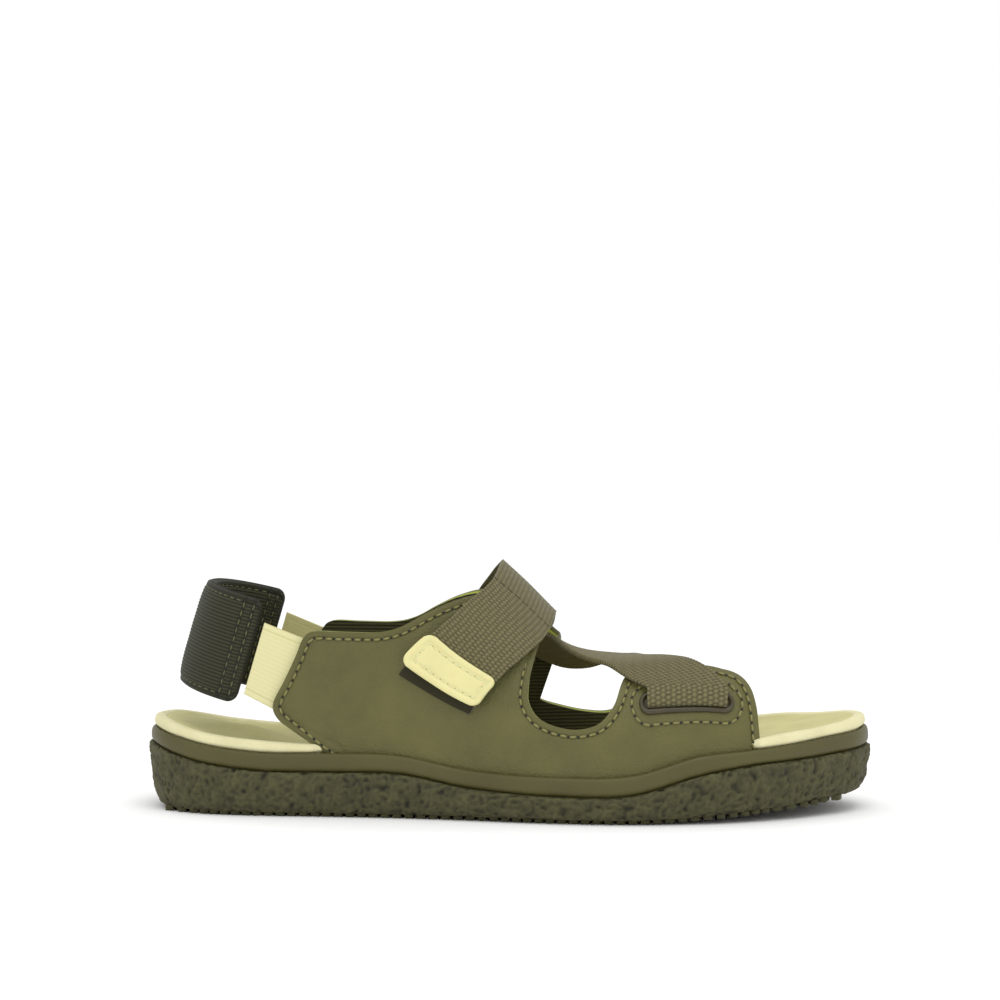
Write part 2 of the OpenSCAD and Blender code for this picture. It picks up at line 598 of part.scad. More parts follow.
outsole();
rand();
insole_board();
footbed();
footbed_sock();
quarter_outer_leather();
quarter_outer_foam();
quarter_outer_lining();
quarter_inner_leather();
quarter_inner_foam();
quarter_inner_lining();
slot_rim_outer();
slot_rim_inner();
webbing();
loop_patch();
webbing_flap();
hook_patch();
strap_tab();
elastic_outer();
elastic_inner();
sleeve_shell();
sleeve_padding();
sleeve_lining();
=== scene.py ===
# %% [markdown]
# # A strappy sport sandal
# A right sandal: a pebbled rubber outsole under a smooth rand, a moulded footbed, two leather quarters lined
# with ribbed knit, one webbing strap that runs over the forefoot and back over the instep, and a padded heel
# sleeve on two elastics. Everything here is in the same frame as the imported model: +X is the toe, +Z is up,
# and the outer side of the foot faces -Y. The curves are worked out in millimetres, as a shoemaker does, and
# turned into metres where a mesh is made.

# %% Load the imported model
import math

import bmesh
import bpy
import numpy as np
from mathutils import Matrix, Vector, noise
from mathutils.kdtree import KDTree


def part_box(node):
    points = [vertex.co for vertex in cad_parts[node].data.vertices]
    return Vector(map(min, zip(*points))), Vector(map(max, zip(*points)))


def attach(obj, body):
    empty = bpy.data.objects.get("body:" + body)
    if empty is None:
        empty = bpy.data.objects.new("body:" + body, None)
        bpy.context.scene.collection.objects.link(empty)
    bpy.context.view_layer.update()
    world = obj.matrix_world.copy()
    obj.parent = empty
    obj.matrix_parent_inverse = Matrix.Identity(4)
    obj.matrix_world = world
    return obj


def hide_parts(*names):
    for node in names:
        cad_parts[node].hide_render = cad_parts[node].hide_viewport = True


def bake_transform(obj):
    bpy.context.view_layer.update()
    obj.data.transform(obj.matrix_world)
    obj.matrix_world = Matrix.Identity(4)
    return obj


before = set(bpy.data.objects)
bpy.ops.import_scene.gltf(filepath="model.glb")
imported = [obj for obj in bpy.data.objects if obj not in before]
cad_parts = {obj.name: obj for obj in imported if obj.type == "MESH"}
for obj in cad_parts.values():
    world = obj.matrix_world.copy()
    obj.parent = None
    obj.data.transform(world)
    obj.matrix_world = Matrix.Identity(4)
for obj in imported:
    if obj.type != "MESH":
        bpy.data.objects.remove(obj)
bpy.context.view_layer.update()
MM = 0.001
SOLE_BOX = [np.array(c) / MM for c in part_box("outsole")]
KX = (SOLE_BOX[1][0] - SOLE_BOX[0][0]) / 270
KY = (SOLE_BOX[1][1] - SOLE_BOX[0][1]) / 100
print("sole", [round(float(v), 1) for v in SOLE_BOX[1] - SOLE_BOX[0]], "mm")

# %% [markdown]
# ## Smooth curves
# A few points, chosen where the shape turns, are enough for a long outline if a smooth curve goes through
# them. A Catmull-Rom curve does that and needs no handles, so it is used for every line of the sandal.

# %% A curve through rows of numbers
def spline(a, b, c, d, t):
    """Point of the curve between b and c at t from 0 to 1, with a before them and d after."""
    return 0.5 * (2 * b + (c - a) * t + (2 * a - 5 * b + 4 * c - d) * t**2
                  + (3 * b - a - 3 * c + d) * t**3)


def through(rows, steps, closed=False):
    """Rows on a smooth curve through the given rows, so many steps from one to the next."""
    p = np.asarray(rows, float)
    n = len(p)
    spans = n if closed else n - 1
    i = np.repeat(np.arange(spans), steps)
    t = np.tile(np.arange(steps) / steps, spans)[:, None]
    if not closed:
        i, t = np.append(i, n - 2), np.vstack([t, [[1.0]]])

    def at(k):
        return p[k % n] if closed else p[np.clip(k, 0, n - 1)]

    return spline(at(i - 1), at(i), at(i + 1), at(i + 2), t)


def smooth_at(values, x, x0, step):
    """Smooth value at x, where the values stand a step apart from x0 on."""
    v = np.asarray(values, float)
    u = np.clip((np.asarray(x, float) - x0) / step, 0, len(v) - 1.001)
    i = np.floor(u).astype(int)
    t = u - i
    return spline(v[np.maximum(i - 1, 0)], v[i], v[i + 1], v[np.minimum(i + 2, len(v) - 1)], t)


def mix(a, b, t):
    return a + (b - a) * t


def bump(distance, width):
    """1 on a line, falling smoothly to 0 at about twice the width from it."""
    return np.exp(-((distance / width) ** 2))


# %% [markdown]
# ## Meshes from grids
# Every piece is a thin solid between two grids of points, or a solid of stacked rings, so two builders make
# them all. A grid says which way is along and which across, and that also gives the fabrics their UV map.
# The thin pieces get their free edges rounded, because cut leather and moulded rubber have no sharp edges.

# %% Build a mesh object
def put_in_scene(name, data):
    obj = bpy.data.objects.new(name, data)
    bpy.context.scene.collection.objects.link(obj)
    return obj


def new_object(name, points, faces, uv=None, values=None):
    mesh = bpy.data.meshes.new(name)
    mesh.from_pydata([tuple(p) for p in np.asarray(points) * MM], [], faces)
    bm = bmesh.new()
    bm.from_mesh(mesh)
    if bm.calc_volume(signed=True) < 0:
        bmesh.ops.reverse_faces(bm, faces=bm.faces)
    bm.to_mesh(mesh)
    bm.free()
    if uv is not None:
        layer = mesh.uv_layers.new(name="UVMap")
        index = np.zeros(len(mesh.loops), int)
        mesh.loops.foreach_get("vertex_index", index)
        layer.data.foreach_set("uv", (np.asarray(uv)[index] * MM).ravel())
    if values is not None:
        attribute = mesh.attributes.new("relief", "FLOAT", "POINT")
        attribute.data.foreach_set("value", np.asarray(values, np.float32))
    mesh.shade_smooth()
    return put_in_scene(name, mesh)


def round_edges(obj, width, angle=40, segments=2):
    """Rounds each edge sharper than the angle, by width millimetres."""
    bm = bmesh.new()
    bm.from_mesh(obj.data)
    sharp = [e for e in bm.edges if e.is_manifold and e.calc_face_angle() > math.radians(angle)]
    bmesh.ops.bevel(bm, geom=sharp, offset=width * MM, segments=segments, profile=0.5,
                    affect="EDGES", clamp_overlap=True)
    bm.to_mesh(obj.data)
    bm.free()
    obj.data.shade_smooth()
    obj.data.set_sharp_from_angle(angle=math.radians(50))
    return obj


def grid_solid(name, outer, inner, uv=None, relief=None):
    nu, nv = outer.shape[:2]
    n = nu * nv
    a = (np.arange(nu - 1)[:, None] * nv + np.arange(nv - 1)[None, :]).ravel()
    faces = [(i, i + nv, i + nv + 1, i + 1) for i in a]
    faces += [(i + n, i + n + 1, i + n + nv + 1, i + n + nv) for i in a]
    rim = ([i * nv for i in range(nu)] + [(nu - 1) * nv + j for j in range(1, nv)]
           + [i * nv + nv - 1 for i in range(nu - 2, -1, -1)] + list(range(nv - 2, 0, -1)))
    faces += [(i, j, j + n, i + n) for j, i in zip(rim, rim[1:] + rim[:1])]
    points = np.vstack([outer.reshape(-1, 3), inner.reshape(-1, 3)])
    both = None if uv is None else np.vstack([uv.reshape(-1, 2)] * 2)
    values = None if relief is None else np.append(relief.ravel(), np.zeros(n))
    return new_object(name, points, faces, both, values)


def ring_solid(name, rings, relief=None):
    """Solid of stacked rings with as many points each, closed across the first and the last."""
    rings = np.asarray(rings)
    m, n = rings.shape[:2]
    faces = [(r * n + i, r * n + (i + 1) % n, (r + 1) * n + (i + 1) % n, (r + 1) * n + i)
             for r in range(m - 1) for i in range(n)]
    top = (m - 1) * n
    for i in range(n // 2):
        quad = []
        for k in (i, i + 1, (n - i - 1) % n, (n - i) % n):
            if k not in quad:
                quad.append(k)
        faces += [tuple(reversed(quad)), tuple(top + k for k in quad)]
    return new_object(name, rings.reshape(-1, 3), faces, None, None if relief is None else relief.ravel())


# %% [markdown]
# ## Materials
# One function turns a hex colour to linear light and one adds a shader node, and each material is then a
# short recipe. A pattern's scale is its real size in millimetres: a texture's Scale is how many fit a metre.

# %% Colour and node helpers
def linear(hex_colour, alpha=1.0):
    def channel(text):
        c = int(text, 16) / 255
        return c / 12.92 if c <= 0.04045 else ((c + 0.055) / 1.055) ** 2.4

    return (*(channel(hex_colour[i:i + 2]) for i in (1, 3, 5)), alpha)


def per_metre(mm):
    return 1000 / mm


def add(tree, kind, settings=None, links=None):
    node = tree.nodes.new(kind)
    for key, value in (settings or {}).items():
        setattr(node, key, value)
    for key, value in (links or {}).items():
        socket = node.inputs[key]
        if isinstance(value, bpy.types.NodeSocket):
            tree.links.new(value, socket)
        else:
            socket.default_value = value
    return node


def new_material(name, roughness, ior=1.5, sheen=0.0, coat=0.0):
    material = bpy.data.materials.new(name)
    material.use_nodes = True
    tree = material.node_tree
    shader = tree.nodes["Principled BSDF"]
    shader.inputs["Roughness"].default_value = roughness
    shader.inputs["IOR"].default_value = ior
    shader.inputs["Sheen Weight"].default_value = sheen
    shader.inputs["Coat Weight"].default_value = coat
    return material, tree, shader


def ramp(tree, factor, stops):
    node = add(tree, "ShaderNodeValToRGB", links={"Fac": factor})
    elements = node.color_ramp.elements
    while len(elements) < len(stops):
        elements.new(0.5)
    for element, (place, colour) in zip(elements, stops):
        element.position = place
        element.color = linear(colour)
    return node.outputs["Color"]


def noise_at(tree, where, size_mm, detail=2.0, rough=0.5):
    return add(tree, "ShaderNodeTexNoise", links={
        "Vector": where, "Scale": per_metre(size_mm), "Detail": detail, "Roughness": rough}).outputs["Fac"]


def cells_at(tree, where, size_mm, feature="F1"):
    return add(tree, "ShaderNodeTexVoronoi", {"feature": feature}, {
        "Vector": where, "Scale": per_metre(size_mm)}).outputs["Distance"]


def maths(tree, operation, a, b=0.0):
    return add(tree, "ShaderNodeMath", {"operation": operation}, {0: a, 1: b}).outputs[0]


def weighed(tree, a, share_a, b, share_b):
    """Sum of two values, each times its share."""
    return maths(tree, "ADD", maths(tree, "MULTIPLY", a, share_a), maths(tree, "MULTIPLY", b, share_b))


def kept_relief(tree):
    """Height of the mesh's own relief, from 0 to 1, kept as an attribute."""
    return add(tree, "ShaderNodeAttribute", {"attribute_name": "relief"}).outputs["Fac"]


def blend_colours(tree, factor, a, b, how="MIX"):
    node = add(tree, "ShaderNodeMix", {"data_type": "RGBA", "blend_type": how}, {0: factor, 6: a, 7: b})
    return node.outputs[2]


def finish(tree, shader, colour, height=None, depth_mm=0.1, strength=0.6, roughness=None):
    tree.links.new(colour, shader.inputs["Base Color"])
    if height is not None:
        relief = add(tree, "ShaderNodeBump", links={
            "Height": height, "Strength": strength, "Distance": depth_mm * MM})
        tree.links.new(relief.outputs["Normal"], shader.inputs["Normal"])
    if roughness is not None:
        spread = add(tree, "ShaderNodeMapRange", links={
            "Value": roughness[0], "To Min": roughness[1], "To Max": roughness[2]})
        tree.links.new(spread.outputs["Result"], shader.inputs["Roughness"])


def place(tree):
    return add(tree, "ShaderNodeTexCoord").outputs["Object"]


# %% Full-grain leather
# Tumbled cowhide with a matt oiled finish: fine pores, soft mottling and a faint broad sheen. Fine flecks are
# lightened as painted glints.
def leather(name, dark, light, shine):
    material, tree, shader = new_material(name, 0.5, 1.45)
    where = place(tree)
    mottle = noise_at(tree, where, 22, 4, 0.6)
    speck = noise_at(tree, where, 0.9, 3, 0.7)
    pores = cells_at(tree, where, 0.85)
    colour = ramp(tree, mottle, [(0.3, dark), (0.7, light)])
    # Painted glints: fine flecks blended towards the lighter shine colour.
    painted_glint_flecks = ramp(tree, speck, [(0.62, "#000000"), (0.8, "#ffffff")])
    colour = blend_colours(tree, maths(tree, "MULTIPLY", painted_glint_flecks, 0.35), colour, linear(shine))
    height = maths(tree, "ADD", pores, maths(tree, "MULTIPLY", speck, 0.8))
    finish(tree, shader, colour, height, 0.22, 0.8, (speck, 0.38, 0.6))
    return material


LEATHER = leather("tumbled_leather_olive", "#535125", "#625f30", "#7f7b4a")


# %% Ribbed knit of the lining
# Warp-knitted polyester with fine ribs along the foot; the colour is darker between them as painted shade and
# lighter on their crowns.
def ribbed_knit(name, dark, light, rib_mm, along):
    material, tree, shader = new_material(name, 0.9, 1.4, 0.05)
    where = place(tree)
    split = add(tree, "ShaderNodeSeparateXYZ", links={"Vector": where}).outputs[along]
    wave = maths(tree, "SINE", maths(tree, "MULTIPLY", split, 2 * math.pi * per_metre(rib_mm)))
    rib = maths(tree, "ADD", maths(tree, "MULTIPLY", wave, 0.5), 0.5)
    fuzz = noise_at(tree, where, 0.6, 3, 0.7)
    # Painted shade between the ribs and painted light on their crowns.
    colour = ramp(tree, weighed(tree, rib, 0.65, fuzz, 0.35), [(0.15, dark), (0.85, light)])
    finish(tree, shader, colour, rib, 0.35, 0.8)
    return material


KNIT = ribbed_knit("ribbed_knit_lining", "#201f0c", "#454322", 1.35, "Z")


# %% Cut foam, moulded EVA and its cover
# The foam between leather and lining is dyed through. EVA comes out of its mould matt and finely pebbled.
def foam(name, dark, light, grain_mm, roughness, depth):
    material, tree, shader = new_material(name, roughness, 1.45)
    where = place(tree)
    grain = cells_at(tree, where, grain_mm)
    soft = noise_at(tree, where, 14, 3)
    colour = ramp(tree, weighed(tree, soft, 0.8, grain, 0.2), [(0.25, dark), (0.7, light)])
    finish(tree, shader, colour, grain, depth, 0.5)
    return material


FOAM = foam("cut_foam_chartreuse", "#7f8a1e", "#a3ad3c", 0.5, 0.9, 0.2)
EVA = foam("moulded_eva_cream", "#cfc99c", "#dfd9ae", 0.7, 0.7, 0.12)
SOCK = foam("footbed_cover_straw", "#b9b37a", "#c9c38c", 0.45, 0.8, 0.1)
BOARD = foam("fibre_board", "#a08e66", "#bba97f", 0.8, 0.9, 0.1)


# %% Moulded rubber
# The rand is smooth and satin. The outsole's pits are darkened with painted shade and its crests lightened
# with painted light.
def satin_rubber(name, dark, light):
    material, tree, shader = new_material(name, 0.5, 1.42)
    where = place(tree)
    soft = noise_at(tree, where, 30, 3)
    fine = noise_at(tree, where, 0.7, 2)
    finish(tree, shader, ramp(tree, soft, [(0.3, dark), (0.7, light)]), fine, 0.03, 0.4, (fine, 0.42, 0.58))
    return material


def pebbled_rubber(name, pit, middle, crest):
    material, tree, shader = new_material(name, 0.7, 1.42)
    where = place(tree)
    fine = noise_at(tree, where, 1.3, 4, 0.7)
    patch = noise_at(tree, where, 18, 3)
    # Painted shade in the pits and painted light on the crests, from the kept relief.
    level = weighed(tree, kept_relief(tree), 0.7, fine, 0.3)
    level = maths(tree, "ADD", level, maths(tree, "MULTIPLY", maths(tree, "SUBTRACT", patch, 0.5), 0.3))
    colour = ramp(tree, level, [(0.2, pit), (0.42, middle), (0.85, crest)])
    finish(tree, shader, colour, fine, 0.4, 0.6, (fine, 0.5, 0.8))
    return material


RAND = satin_rubber("satin_rubber_rand", "#494420", "#524e27")
OUTSOLE = pebbled_rubber("pebbled_rubber_outsole", "#1c1b0b", "#3c3a20", "#555230")


# %% Moulded plastics
# The slot frames are hard nylon; the tab is soft TPU, which scatters a little light inside.
def moulded_plastic(name, colour, roughness, scatter=0.0):
    material, tree, shader = new_material(name, roughness, 1.49)
    where = place(tree)
    soft = noise_at(tree, where, 9, 2)
    fine = noise_at(tree, where, 0.5, 2)
    shader.inputs["Subsurface Weight"].default_value = scatter
    shader.inputs["Subsurface Scale"].default_value = 1.2 * MM
    dim = blend_colours(tree, maths(tree, "MULTIPLY", soft, 0.18), linear(colour), linear("#6f6a40"))
    finish(tree, shader, dim, fine, 0.03, 0.35)
    return material


NYLON = moulded_plastic("moulded_nylon_brown", "#332c18", 0.35)
TPU = moulded_plastic("soft_tpu_cream", "#e4dd9f", 0.5, 0.15)


# %% Woven and stretch fabrics
# Polyester webbing, knitted elastic and the sleeve's corded fabric. Their yarns are real relief on the mesh,
# whose height also paints the colour: painted light on the crowns, painted shade where the yarns dive.
def yarn_fabric(name, valley, middle, crown, fibre_mm, roughness=0.8, sheen=0.2):
    material, tree, shader = new_material(name, roughness, 1.42, sheen)
    where = place(tree)
    fibre = noise_at(tree, where, fibre_mm, 3, 0.7)
    level = weighed(tree, kept_relief(tree), 0.75, fibre, 0.25)
    # Painted shade where the yarns dive and painted light on their crowns.
    colour = ramp(tree, level, [(0.1, valley), (0.5, middle), (0.92, crown)])
    finish(tree, shader, colour, fibre, 0.12, 0.6)
    return material


WEBBING = yarn_fabric("woven_polyester_webbing", "#231f10", "#5e5838", "#7d7652", 0.5, 0.7, 0.05)
ELASTIC = yarn_fabric("knitted_elastic_cream", "#bfb981", "#d6d09c", "#e0dbab", 0.5, 0.85, 0.05)
CORDED = yarn_fabric("corded_stretch_fabric", "#0c0d04", "#25260f", "#3a3b1d", 0.5, 0.7, 0.0)
LOOP = yarn_fabric("loop_pile", "#2c2815", "#4a4329", "#625a3a", 0.35, 0.95, 0.3)


# %% Sewing thread
# Bonded polyester thread is a little glossy; the needle holes are dark balls of painted shade.
def thread(name, dark, light):
    material, tree, shader = new_material(name, 0.55, 1.5)
    where = place(tree)
    twist = noise_at(tree, where, 0.4, 2)
    finish(tree, shader, ramp(tree, twist, [(0.3, dark), (0.7, light)]), twist, 0.08, 0.5)
    return material


THREAD = thread("thread_olive", "#6a6638", "#8c8752")
THREAD_DARK = thread("thread_dark_olive", "#45442a", "#63613c")
THREAD_CREAM = thread("thread_cream", "#d2cc96", "#e4deb0")
# Painted shade of the needle holes: dark flat balls between the stitches.
HOLE_SHADE = thread("needle_hole_shade", "#0d0c05", "#141309")
HOLE_SHADE_CREAM = thread("needle_hole_shade_cream", "#a9a36c", "#b5af78")


def wear(obj, *materials):
    obj.data.materials.clear()
    for material in materials:
        obj.data.materials.append(material)
    return obj


# %% [markdown]
# ## The sole's outline
# The last's footprint is drawn as stations from heel to toe. Each has its half widths and the heights of the
# four lines that run round the sole: tread, outsole edge, rand edge and footbed rim.

# %% Stations of the sole
STATIONS = [
    [-135, 0.0, 0.0, 0.0, 24.6, 30.2, 34.6], [-131, -15.5, 15.5, 0.0, 24.2, 29.8, 34.2],
    [-122, -26.0, 26.0, 0.0, 21.8, 28.0, 32.2], [-108, -32.5, 32.0, 0.0, 19.0, 25.4, 29.6],
    [-87, -35.5, 33.5, 0.0, 17.0, 23.4, 27.6], [-62, -36.5, 32.2, 0.0, 16.9, 23.6, 26.4],
    [-38, -38.5, 31.0, 0.0, 16.8, 23.2, 25.4], [-12, -42.5, 33.0, 0.0, 12.4, 18.6, 20.8],
    [16, -48.0, 39.5, 0.0, 10.5, 17.0, 19.4], [46, -50.0, 47.0, 0.0, 11.0, 17.7, 20.2],
    [70, -47.5, 50.0, 1.2, 17.6, 24.4, 26.8], [88, -42.0, 48.8, 2.6, 20.8, 26.2, 29.4],
    [104, -33.5, 44.0, 3.8, 22.0, 27.4, 31.6], [118, -22.5, 36.0, 5.0, 22.9, 29.0, 32.8],
    [130.5, -9.0, 25.0, 5.8, 24.0, 30.2, 34.6], [135, 8.0, 8.0, 6.2, 24.4, 31.0, 35.4]]
TREAD, EDGE, RAND_TOP, RIM = 2, 3, 4, 5
outer_side = [[s[0] * KX, s[1] * KY, *s[3:]] for s in STATIONS]
inner_side = [[s[0] * KX, s[2] * KY, *s[3:]] for s in STATIONS[-2:0:-1]]
OUTLINE = through(outer_side + inner_side, 40, closed=True)
ROUND = len(OUTLINE)
HALF = ROUND // 2
ahead = np.roll(OUTLINE, -3, 0)[:, :2] - np.roll(OUTLINE, 3, 0)[:, :2]
ahead /= np.linalg.norm(ahead, axis=1)[:, None]
INWARD = np.stack([-ahead[:, 1], ahead[:, 0]], 1)
OPPOSITE = OUTLINE[(-np.arange(ROUND)) % ROUND]
MIDDLE = np.stack([OUTLINE[:, 0], (OUTLINE[:, 1] + OPPOSITE[:, 1]) / 2], 1) * 0.7

UPPER_BACK, UPPER_FRONT = -61, 91
COVERED = (np.clip((OUTLINE[:, 0] / KX - UPPER_BACK + 9) / 12, 0, 1)
           * np.clip((UPPER_FRONT + 3 - OUTLINE[:, 0] / KX) / 7, 0, 1))
RAND_STEP, RAND_WALL, SEAT_DEPTH, WALL_GAP = 0.8, 2.6, 4.8, 0.35
LEATHER_T, FOAM_T, LINING_T = 1.6, 1.7, 0.9
STACK = LEATHER_T + FOAM_T + LINING_T
WALL_IN = RAND_STEP + RAND_WALL
UPPER_IN = WALL_IN + WALL_GAP + STACK
BED_IN = UPPER_IN + 0.3
RIM_INSET = 1.9


def ring(inset, height, share=0.0):
    """Ring at an inset from the sole's side, moved towards its middle by a share."""
    inset = np.broadcast_to(inset, ROUND)[:, None]
    xy = mix(OUTLINE[:, :2] + inset * INWARD, MIDDLE, share)
    return np.column_stack([xy, np.broadcast_to(height, ROUND)])


def line(which, up=0.0, other=None, share=0.0):
    """Height of one of the sole's lines, or a share of the way from it to another."""
    low = OUTLINE[:, which]
    return (low if other is None else mix(low, OUTLINE[:, other], share)) + up


def stacked(rings, steps):
    """Smooth rings through a few given ones."""
    rings = np.asarray(rings)
    return through(rings.reshape(len(rings), -1), steps).reshape(-1, ROUND, 3)


# %% [markdown]
# ## Outsole
# The real outsole is moulded rubber whose side looks like broken rock: lumps and pits of two to five
# millimetres. A bump map would leave the outline smooth, so the wall is a fine mesh and the lumps are pushed
# into it with turbulent noise. The same relief is kept as an attribute and paints shade into the pits.

# %% The outsole's wall
def rock(point):
    p = Vector(point)
    lump = noise.noise(p / 5.2)
    ridge = abs(noise.noise(p / 2.6 + Vector((2, 9, 4))))
    grit = noise.noise(p / 1.25 + Vector((7, 3, 1)))
    return 0.72 + 0.25 * lump - 0.75 * ridge + 0.32 * grit


wall = stacked([ring(9, line(TREAD, 1.3)), ring(4.4, line(TREAD, 1.5)), ring(1.9, line(TREAD, 0, EDGE, 0.28)),
                ring(0.7, line(TREAD, 0, EDGE, 0.6)), ring(0.1, line(EDGE, -1.3)),
                ring(RAND_STEP + 1.4, line(EDGE, -0.2))], 8)
ROCK_DEPTH = 1.7
relief = np.array([[rock(p) for p in row] for row in wall])
level = np.arange(len(wall)) / (len(wall) - 1)
fade = np.clip(level * 6, 0, 1) * np.clip((1 - level) * 9, 0, 1)
outwards = np.column_stack([-INWARD, np.zeros(ROUND)])
wall += (relief - 0.55)[..., None] * ROCK_DEPTH * fade[:, None, None] * outwards
wall[..., 2] += (relief - 0.55) * 0.5 * (fade * (level > 0.25))[:, None]
shade = np.clip(relief * fade[:, None] + 0.55 * (1 - fade[:, None]), 0, 1)
outsole = wear(ring_solid("outsole_rock", wall, shade), OUTSOLE)
print("outsole", len(outsole.data.vertices), "points")

# %% [markdown]
# ## Tread
# Under the sole the tread is rows of narrow lugs, whose ends show as scallops along the ground. They repeat,
# so one lug is a Geometry Nodes instance: a rounded bar on each point of a line, as long as the sole is wide.

# %% Helpers to build and bake a node tree
def geometry_tree(name, inputs):
    """New node tree with a Geometry input and named ones, as (name, socket type, value)."""
    tree = bpy.data.node_groups.new(name, "GeometryNodeTree")
    tree.interface.new_socket("Geometry", in_out="INPUT", socket_type="NodeSocketGeometry")
    for label, kind, value in inputs:
        socket = tree.interface.new_socket(label, in_out="INPUT", socket_type=kind)
        if value is not None:
            socket.default_value = value
    tree.interface.new_socket("Geometry", in_out="OUTPUT", socket_type="NodeSocketGeometry")
    return tree, add(tree, "NodeGroupInput").outputs


def bake(obj, tree, values, name):
    """Runs a node tree on an object and turns the result into a plain mesh object."""
    modifier = obj.modifiers.new("nodes", "NODES")
    modifier.node_group = tree
    for item in tree.interface.items_tree:
        if item.item_type == "SOCKET" and item.in_out == "INPUT" and item.name in values:
            modifier[item.identifier] = values[item.name]
    bpy.context.view_layer.update()
    evaluated = obj.evaluated_get(bpy.context.evaluated_depsgraph_get())
    mesh = bpy.data.meshes.new_from_object(evaluated)
    mesh.name = name
    bpy.data.objects.remove(obj)
    return put_in_scene(name, mesh)


# %% Lugs across the sole
LUG_PITCH, LUG_W, LUG_H, LUG_ROUND = 4.3, 3.1, 2.2, 0.5
LUG_FROM_HEEL, LUG_FROM_TOE, LUG_FROM_SIDE = 11, 13, 5.0
WAVE_DEPTH, WAVE_LENGTH = 0.9, 14
xs = np.arange(OUTLINE[:, 0].min() + LUG_FROM_HEEL, OUTLINE[:, 0].max() - LUG_FROM_TOE, LUG_PITCH * KX)
side_a = np.interp(xs, OUTLINE[:HALF, 0], OUTLINE[:HALF, 1]) + LUG_FROM_SIDE
side_b = np.interp(xs, OPPOSITE[:HALF, 0], OPPOSITE[:HALF, 1]) - LUG_FROM_SIDE
floor_z = np.interp(xs, OUTLINE[:HALF, 0], OUTLINE[:HALF, TREAD])
lugs = bpy.data.meshes.new("lug_places")
lug_rows = zip(xs, (side_a + side_b) / 2, floor_z + LUG_H / 2)
lugs.from_pydata([tuple(np.array(p) * MM) for p in lug_rows], [], [])
width = lugs.attributes.new("width", "FLOAT", "POINT")
width.data.foreach_set("value", ((side_b - side_a) * MM).astype(np.float32))
lug_places = put_in_scene("lug_places", lugs)

tree, given = geometry_tree("Tread lugs", [("Lug width", "NodeSocketFloat", LUG_W * MM),
                                           ("Lug height", "NodeSocketFloat", LUG_H * MM),
                                           ("Material", "NodeSocketMaterial", None)])
bar_size = add(tree, "ShaderNodeCombineXYZ", links={0: given["Lug width"], 1: 1.0, 2: given["Lug height"]})
bar = add(tree, "GeometryNodeMeshCube", links={"Size": bar_size.outputs[0]})
bar.inputs["Vertices Y"].default_value = 24
wide = add(tree, "GeometryNodeInputNamedAttribute", {"data_type": "FLOAT"}, {"Name": "width"})
stretch = add(tree, "ShaderNodeCombineXYZ", links={0: 1.0, 1: wide.outputs[0], 2: 1.0})
row = add(tree, "GeometryNodeInstanceOnPoints", links={
    "Points": given["Geometry"], "Instance": bar.outputs["Mesh"], "Scale": stretch.outputs[0]})
real = add(tree, "GeometryNodeRealizeInstances", links={"Geometry": row.outputs[0]})
painted = add(tree, "GeometryNodeSetMaterial", links={
    "Geometry": real.outputs[0], "Material": given["Material"]})
add(tree, "NodeGroupOutput", links={0: painted.outputs[0]})
tread = bake(lug_places, tree, {"Material": OUTSOLE}, "tread_lugs")
wave_points = np.array([v.co for v in tread.data.vertices]) / MM
wave_points[:, 0] += WAVE_DEPTH * np.sin(wave_points[:, 1] * 2 * math.pi / WAVE_LENGTH)
tread.data.vertices.foreach_set("co", (wave_points * MM).ravel())
round_edges(tread, LUG_ROUND, 60)
wear(tread, OUTSOLE)
lug_relief = tread.data.attributes.new("relief", "FLOAT", "POINT")
lug_relief.data.foreach_set("value", np.full(len(tread.data.vertices), 0.5, np.float32))
for face in tread.data.polygons:
    face.material_index = 0
print("tread lugs", len(xs))

# %% [markdown]
# ## Rand
# A smooth band of softer rubber is wrapped round the sole above the outsole, with a thin groove between the
# two, and it covers the upper's lower edge. It is one closed section run round the outline.

# %% The rand
rand = wear(ring_solid("rand_band", stacked([
    ring(RAND_STEP + 1.8, line(EDGE, -0.3)), ring(RAND_STEP + 0.6, line(EDGE, 0.3)),
    ring(RAND_STEP - 0.15, line(EDGE, 0, RAND_TOP, 0.22)),
    ring(RAND_STEP - 0.25, line(EDGE, 0, RAND_TOP, 0.5)),
    ring(RAND_STEP - 0.05, line(EDGE, 0, RAND_TOP, 0.78)), ring(RAND_STEP + 0.45, line(RAND_TOP, -0.4)),
    ring(RAND_STEP + 1.3, line(RAND_TOP, 0.0)), ring(WALL_IN - 0.2, line(RAND_TOP, -0.3)),
    ring(WALL_IN, line(RAND_TOP, -1.2)), ring(WALL_IN, line(RAND_TOP, -SEAT_DEPTH))], 3)), RAND)

# %% [markdown]
# ## Footbed
# The footbed is EVA moulded with a rounded rim that stands over the rand at heel and toe, and a thin cover
# lines its bowl. Where the upper goes down into the sole the rim draws in behind it.

# %% The footbed's rim and its cover
RIM_W, BED_DEPTH, SOCK_T = 4.4, 4.5, 0.8
BOWL = [(0.22, 0.06), (0.5, 0.2), (0.8, 0.5), (1.0, 0.85)]


def seat(inset_free, inset_covered, height, share=0.0):
    return ring(mix(inset_free, inset_covered, COVERED), height, share)


def bowl(stations, drop):
    """Rings of the footbed's bowl, each at its share of the depth and of the way to the middle."""
    return [seat(RIM_INSET + RIM_W + 1, BED_IN + RIM_W, line(RIM, drop - BED_DEPTH * d), s)
            for d, s in stations]


